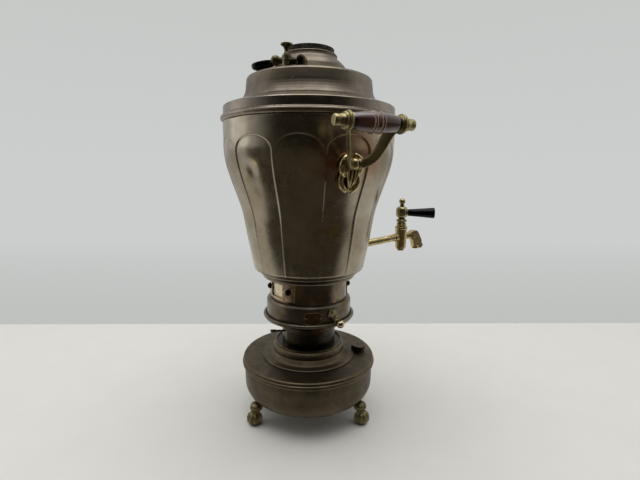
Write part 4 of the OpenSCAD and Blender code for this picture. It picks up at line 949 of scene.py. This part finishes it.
def turnedPlug():
    top, hub, high = tap["top"], tap["hub"], tap["hub"] + tap["hubHeight"]
    foot, plug = top - tap["barrel"], tap["plug"]
    outline = [(0, foot - 5), (2.5, foot - 5), (2.5, foot + 0.3), (tap["plugFoot"], foot + 0.3),
               (plug, top), (plug, top + 0.3), (7.7, top + 0.3)]
    outline += arcPoints(6, top + 3.3, 2.4, -50, 50, 6) + [(6.2, top + 6)]
    outline += arcPoints(6, top + 9.8, 2.9, -60, 60, 7) + [(5.6, top + 13.1), (5.3, hub - 1)]
    outline += [(6.4, hub + 0.4), (8.4, hub + 1.6), (9.5, hub + 3.6), (9.8, hub + 7),
                (9.8, hub + 12), (9.3, hub + 15.4), (8.2, hub + 17.4), (6.6, hub + 18.6),
                (5, high), (0, high)]
    across = atTap @ spin(tap["leverTurn"]) @ move(0, 0, leverHeight) @ spin(90, "Y")
    shapes = [(turned(outline, 64), atTap), (turned(tap["pin"], 24), across)]
    settle(madeFrom("turned_plug", shapes), "tap_key", "fitting", "tap_plug")


def blackLever():
    long, root, end = tap["lever"], tap["leverRoot"], tap["leverEnd"]
    collar = root + 0.15
    outline = [(0, 0), (root - 0.6, 0), (root, 0.6), (root + 0.1, 2.4), (root - 0.25, 2.9),
               (collar, 3.4)]
    outline += [(collar + (end - root - 0.15) * (t ** 1.15), 3.4 + (long - 6.4) * t)
                for t in np.linspace(0.1, 1, 10)]
    outline += [(end - 0.35, long - 2.6), (end, long - 2.1)]
    outline += arcPoints(end - 1.1, long - 1.1, 1.1, 0, 90, 5)
    outline += [(end - 2.2, long - 0.1), (end - 2.8, long - 0.9), (end - 4.6, long - 0.9),
                (end - 5.2, long - 0.3), (0, long - 0.1)]
    place = atTap @ spin(tap["leverTurn"]) @ move(tap["hubRadius"] + 0.1, 0, leverHeight)
    settle(madeFrom("turned_lever", [(turned(outline, 72), place @ spin(90, "Y"))]), "tap_key",
           "black", "tap_lever")


castTap()
tapPipe()
turnedPlug()
blackLever()
print("tap made")


# blank plate on the skirt: a raised edge, and a black bar as painted shade where its slot is

plate = {"turn": 161.5, "height": 177, "face": 67.1, "halfWidth": 13, "halfHeight": 8.4,
         "corner": 6.2, "edgeWide": 0.8, "edgeDeep": 0.5, "slotFrom": 0.68, "slotStep": 0.9,
         "slotWide": (1, 1.9, 1.9, 1.9, 1)}


def plateTrim():
    def onSkirt(points, lift):
        face, r = plate["face"], plate["face"] + lift
        return [polar(r, x / face, y) for x, y in points]

    wide, tall, corner = plate["halfWidth"], plate["halfHeight"], plate["corner"]
    deep, edge = plate["edgeDeep"], []
    for x, y, start in ((1, 1, 0), (-1, 1, 90), (-1, -1, 180), (1, -1, 270)):
        edge += arcPoints(x * (wide - corner), y * (tall - corner), corner, start, start + 90, 7)
    edge.append(edge[0])
    place = spin(plate["turn"]) @ move(0, 0, plate["height"])
    rim = strand(onSkirt(edge, 0), [plate["edgeWide"]] * len(edge), [deep] * len(edge),
                 (1, 0, 0.001), 2, 8)
    settle(madeFrom("plate_edge", [(rim, place)]), "vessel", "fitting")
    # painted shade: the slot is not cut; a thin bar in the sooted black finish lies on the plate in
    # its place
    slot = [(-wide * plate["slotFrom"] + plate["slotStep"] * k, 0) for k in range(5)]
    bar = strand(onSkirt(slot, -0.1), plate["slotWide"], [deep] * 5, (0, 0, 1), 2.5, 12)
    settle(madeFrom("plate_slot_shade", [(bar, place)]), "vessel", "soot")


plateTrim()
print("plate made")


# lid knobs: black turned pucks with a dished top

knob = {"at": 68, "turns": (90, 270), "radius": 16, "height": 11, "slope": 12, "seat": 519.6,
        "lift": 2, "dish": 0.9}


def puckKnobs():
    r, h = knob["radius"], knob["height"]
    outline = [(0, 0), (r * 0.48, 0), (r * 0.5, h * 0.06), (r * 0.55, h * 0.12), (r * 0.7, h * 0.2),
               (r * 0.88, h * 0.34)] + arcPoints(r - 1.3, h * 0.54, 1.3, -40, 0, 3) + [(r, h * 0.8)]
    outline += arcPoints(r - 1.6, h - 1.7, 1.6, 0, 90, 6)
    outline += [(r * 0.8, h - 0.15), (r * 0.72, h - 0.5), (r * 0.4, h - knob["dish"]),
                (0, h - knob["dish"])]
    shapes = []
    for turn in knob["turns"]:
        place = spin(turn) @ move(knob["at"], 0, knob["seat"]) @ spin(knob["slope"], "Y")
        shapes.append((turned(outline, 96), place @ move(0, 0, knob["lift"])))
    settle(madeFrom("puck_knobs", shapes, 50), "lid", "black", "lid_knobs")


puckKnobs()
print("knobs made")
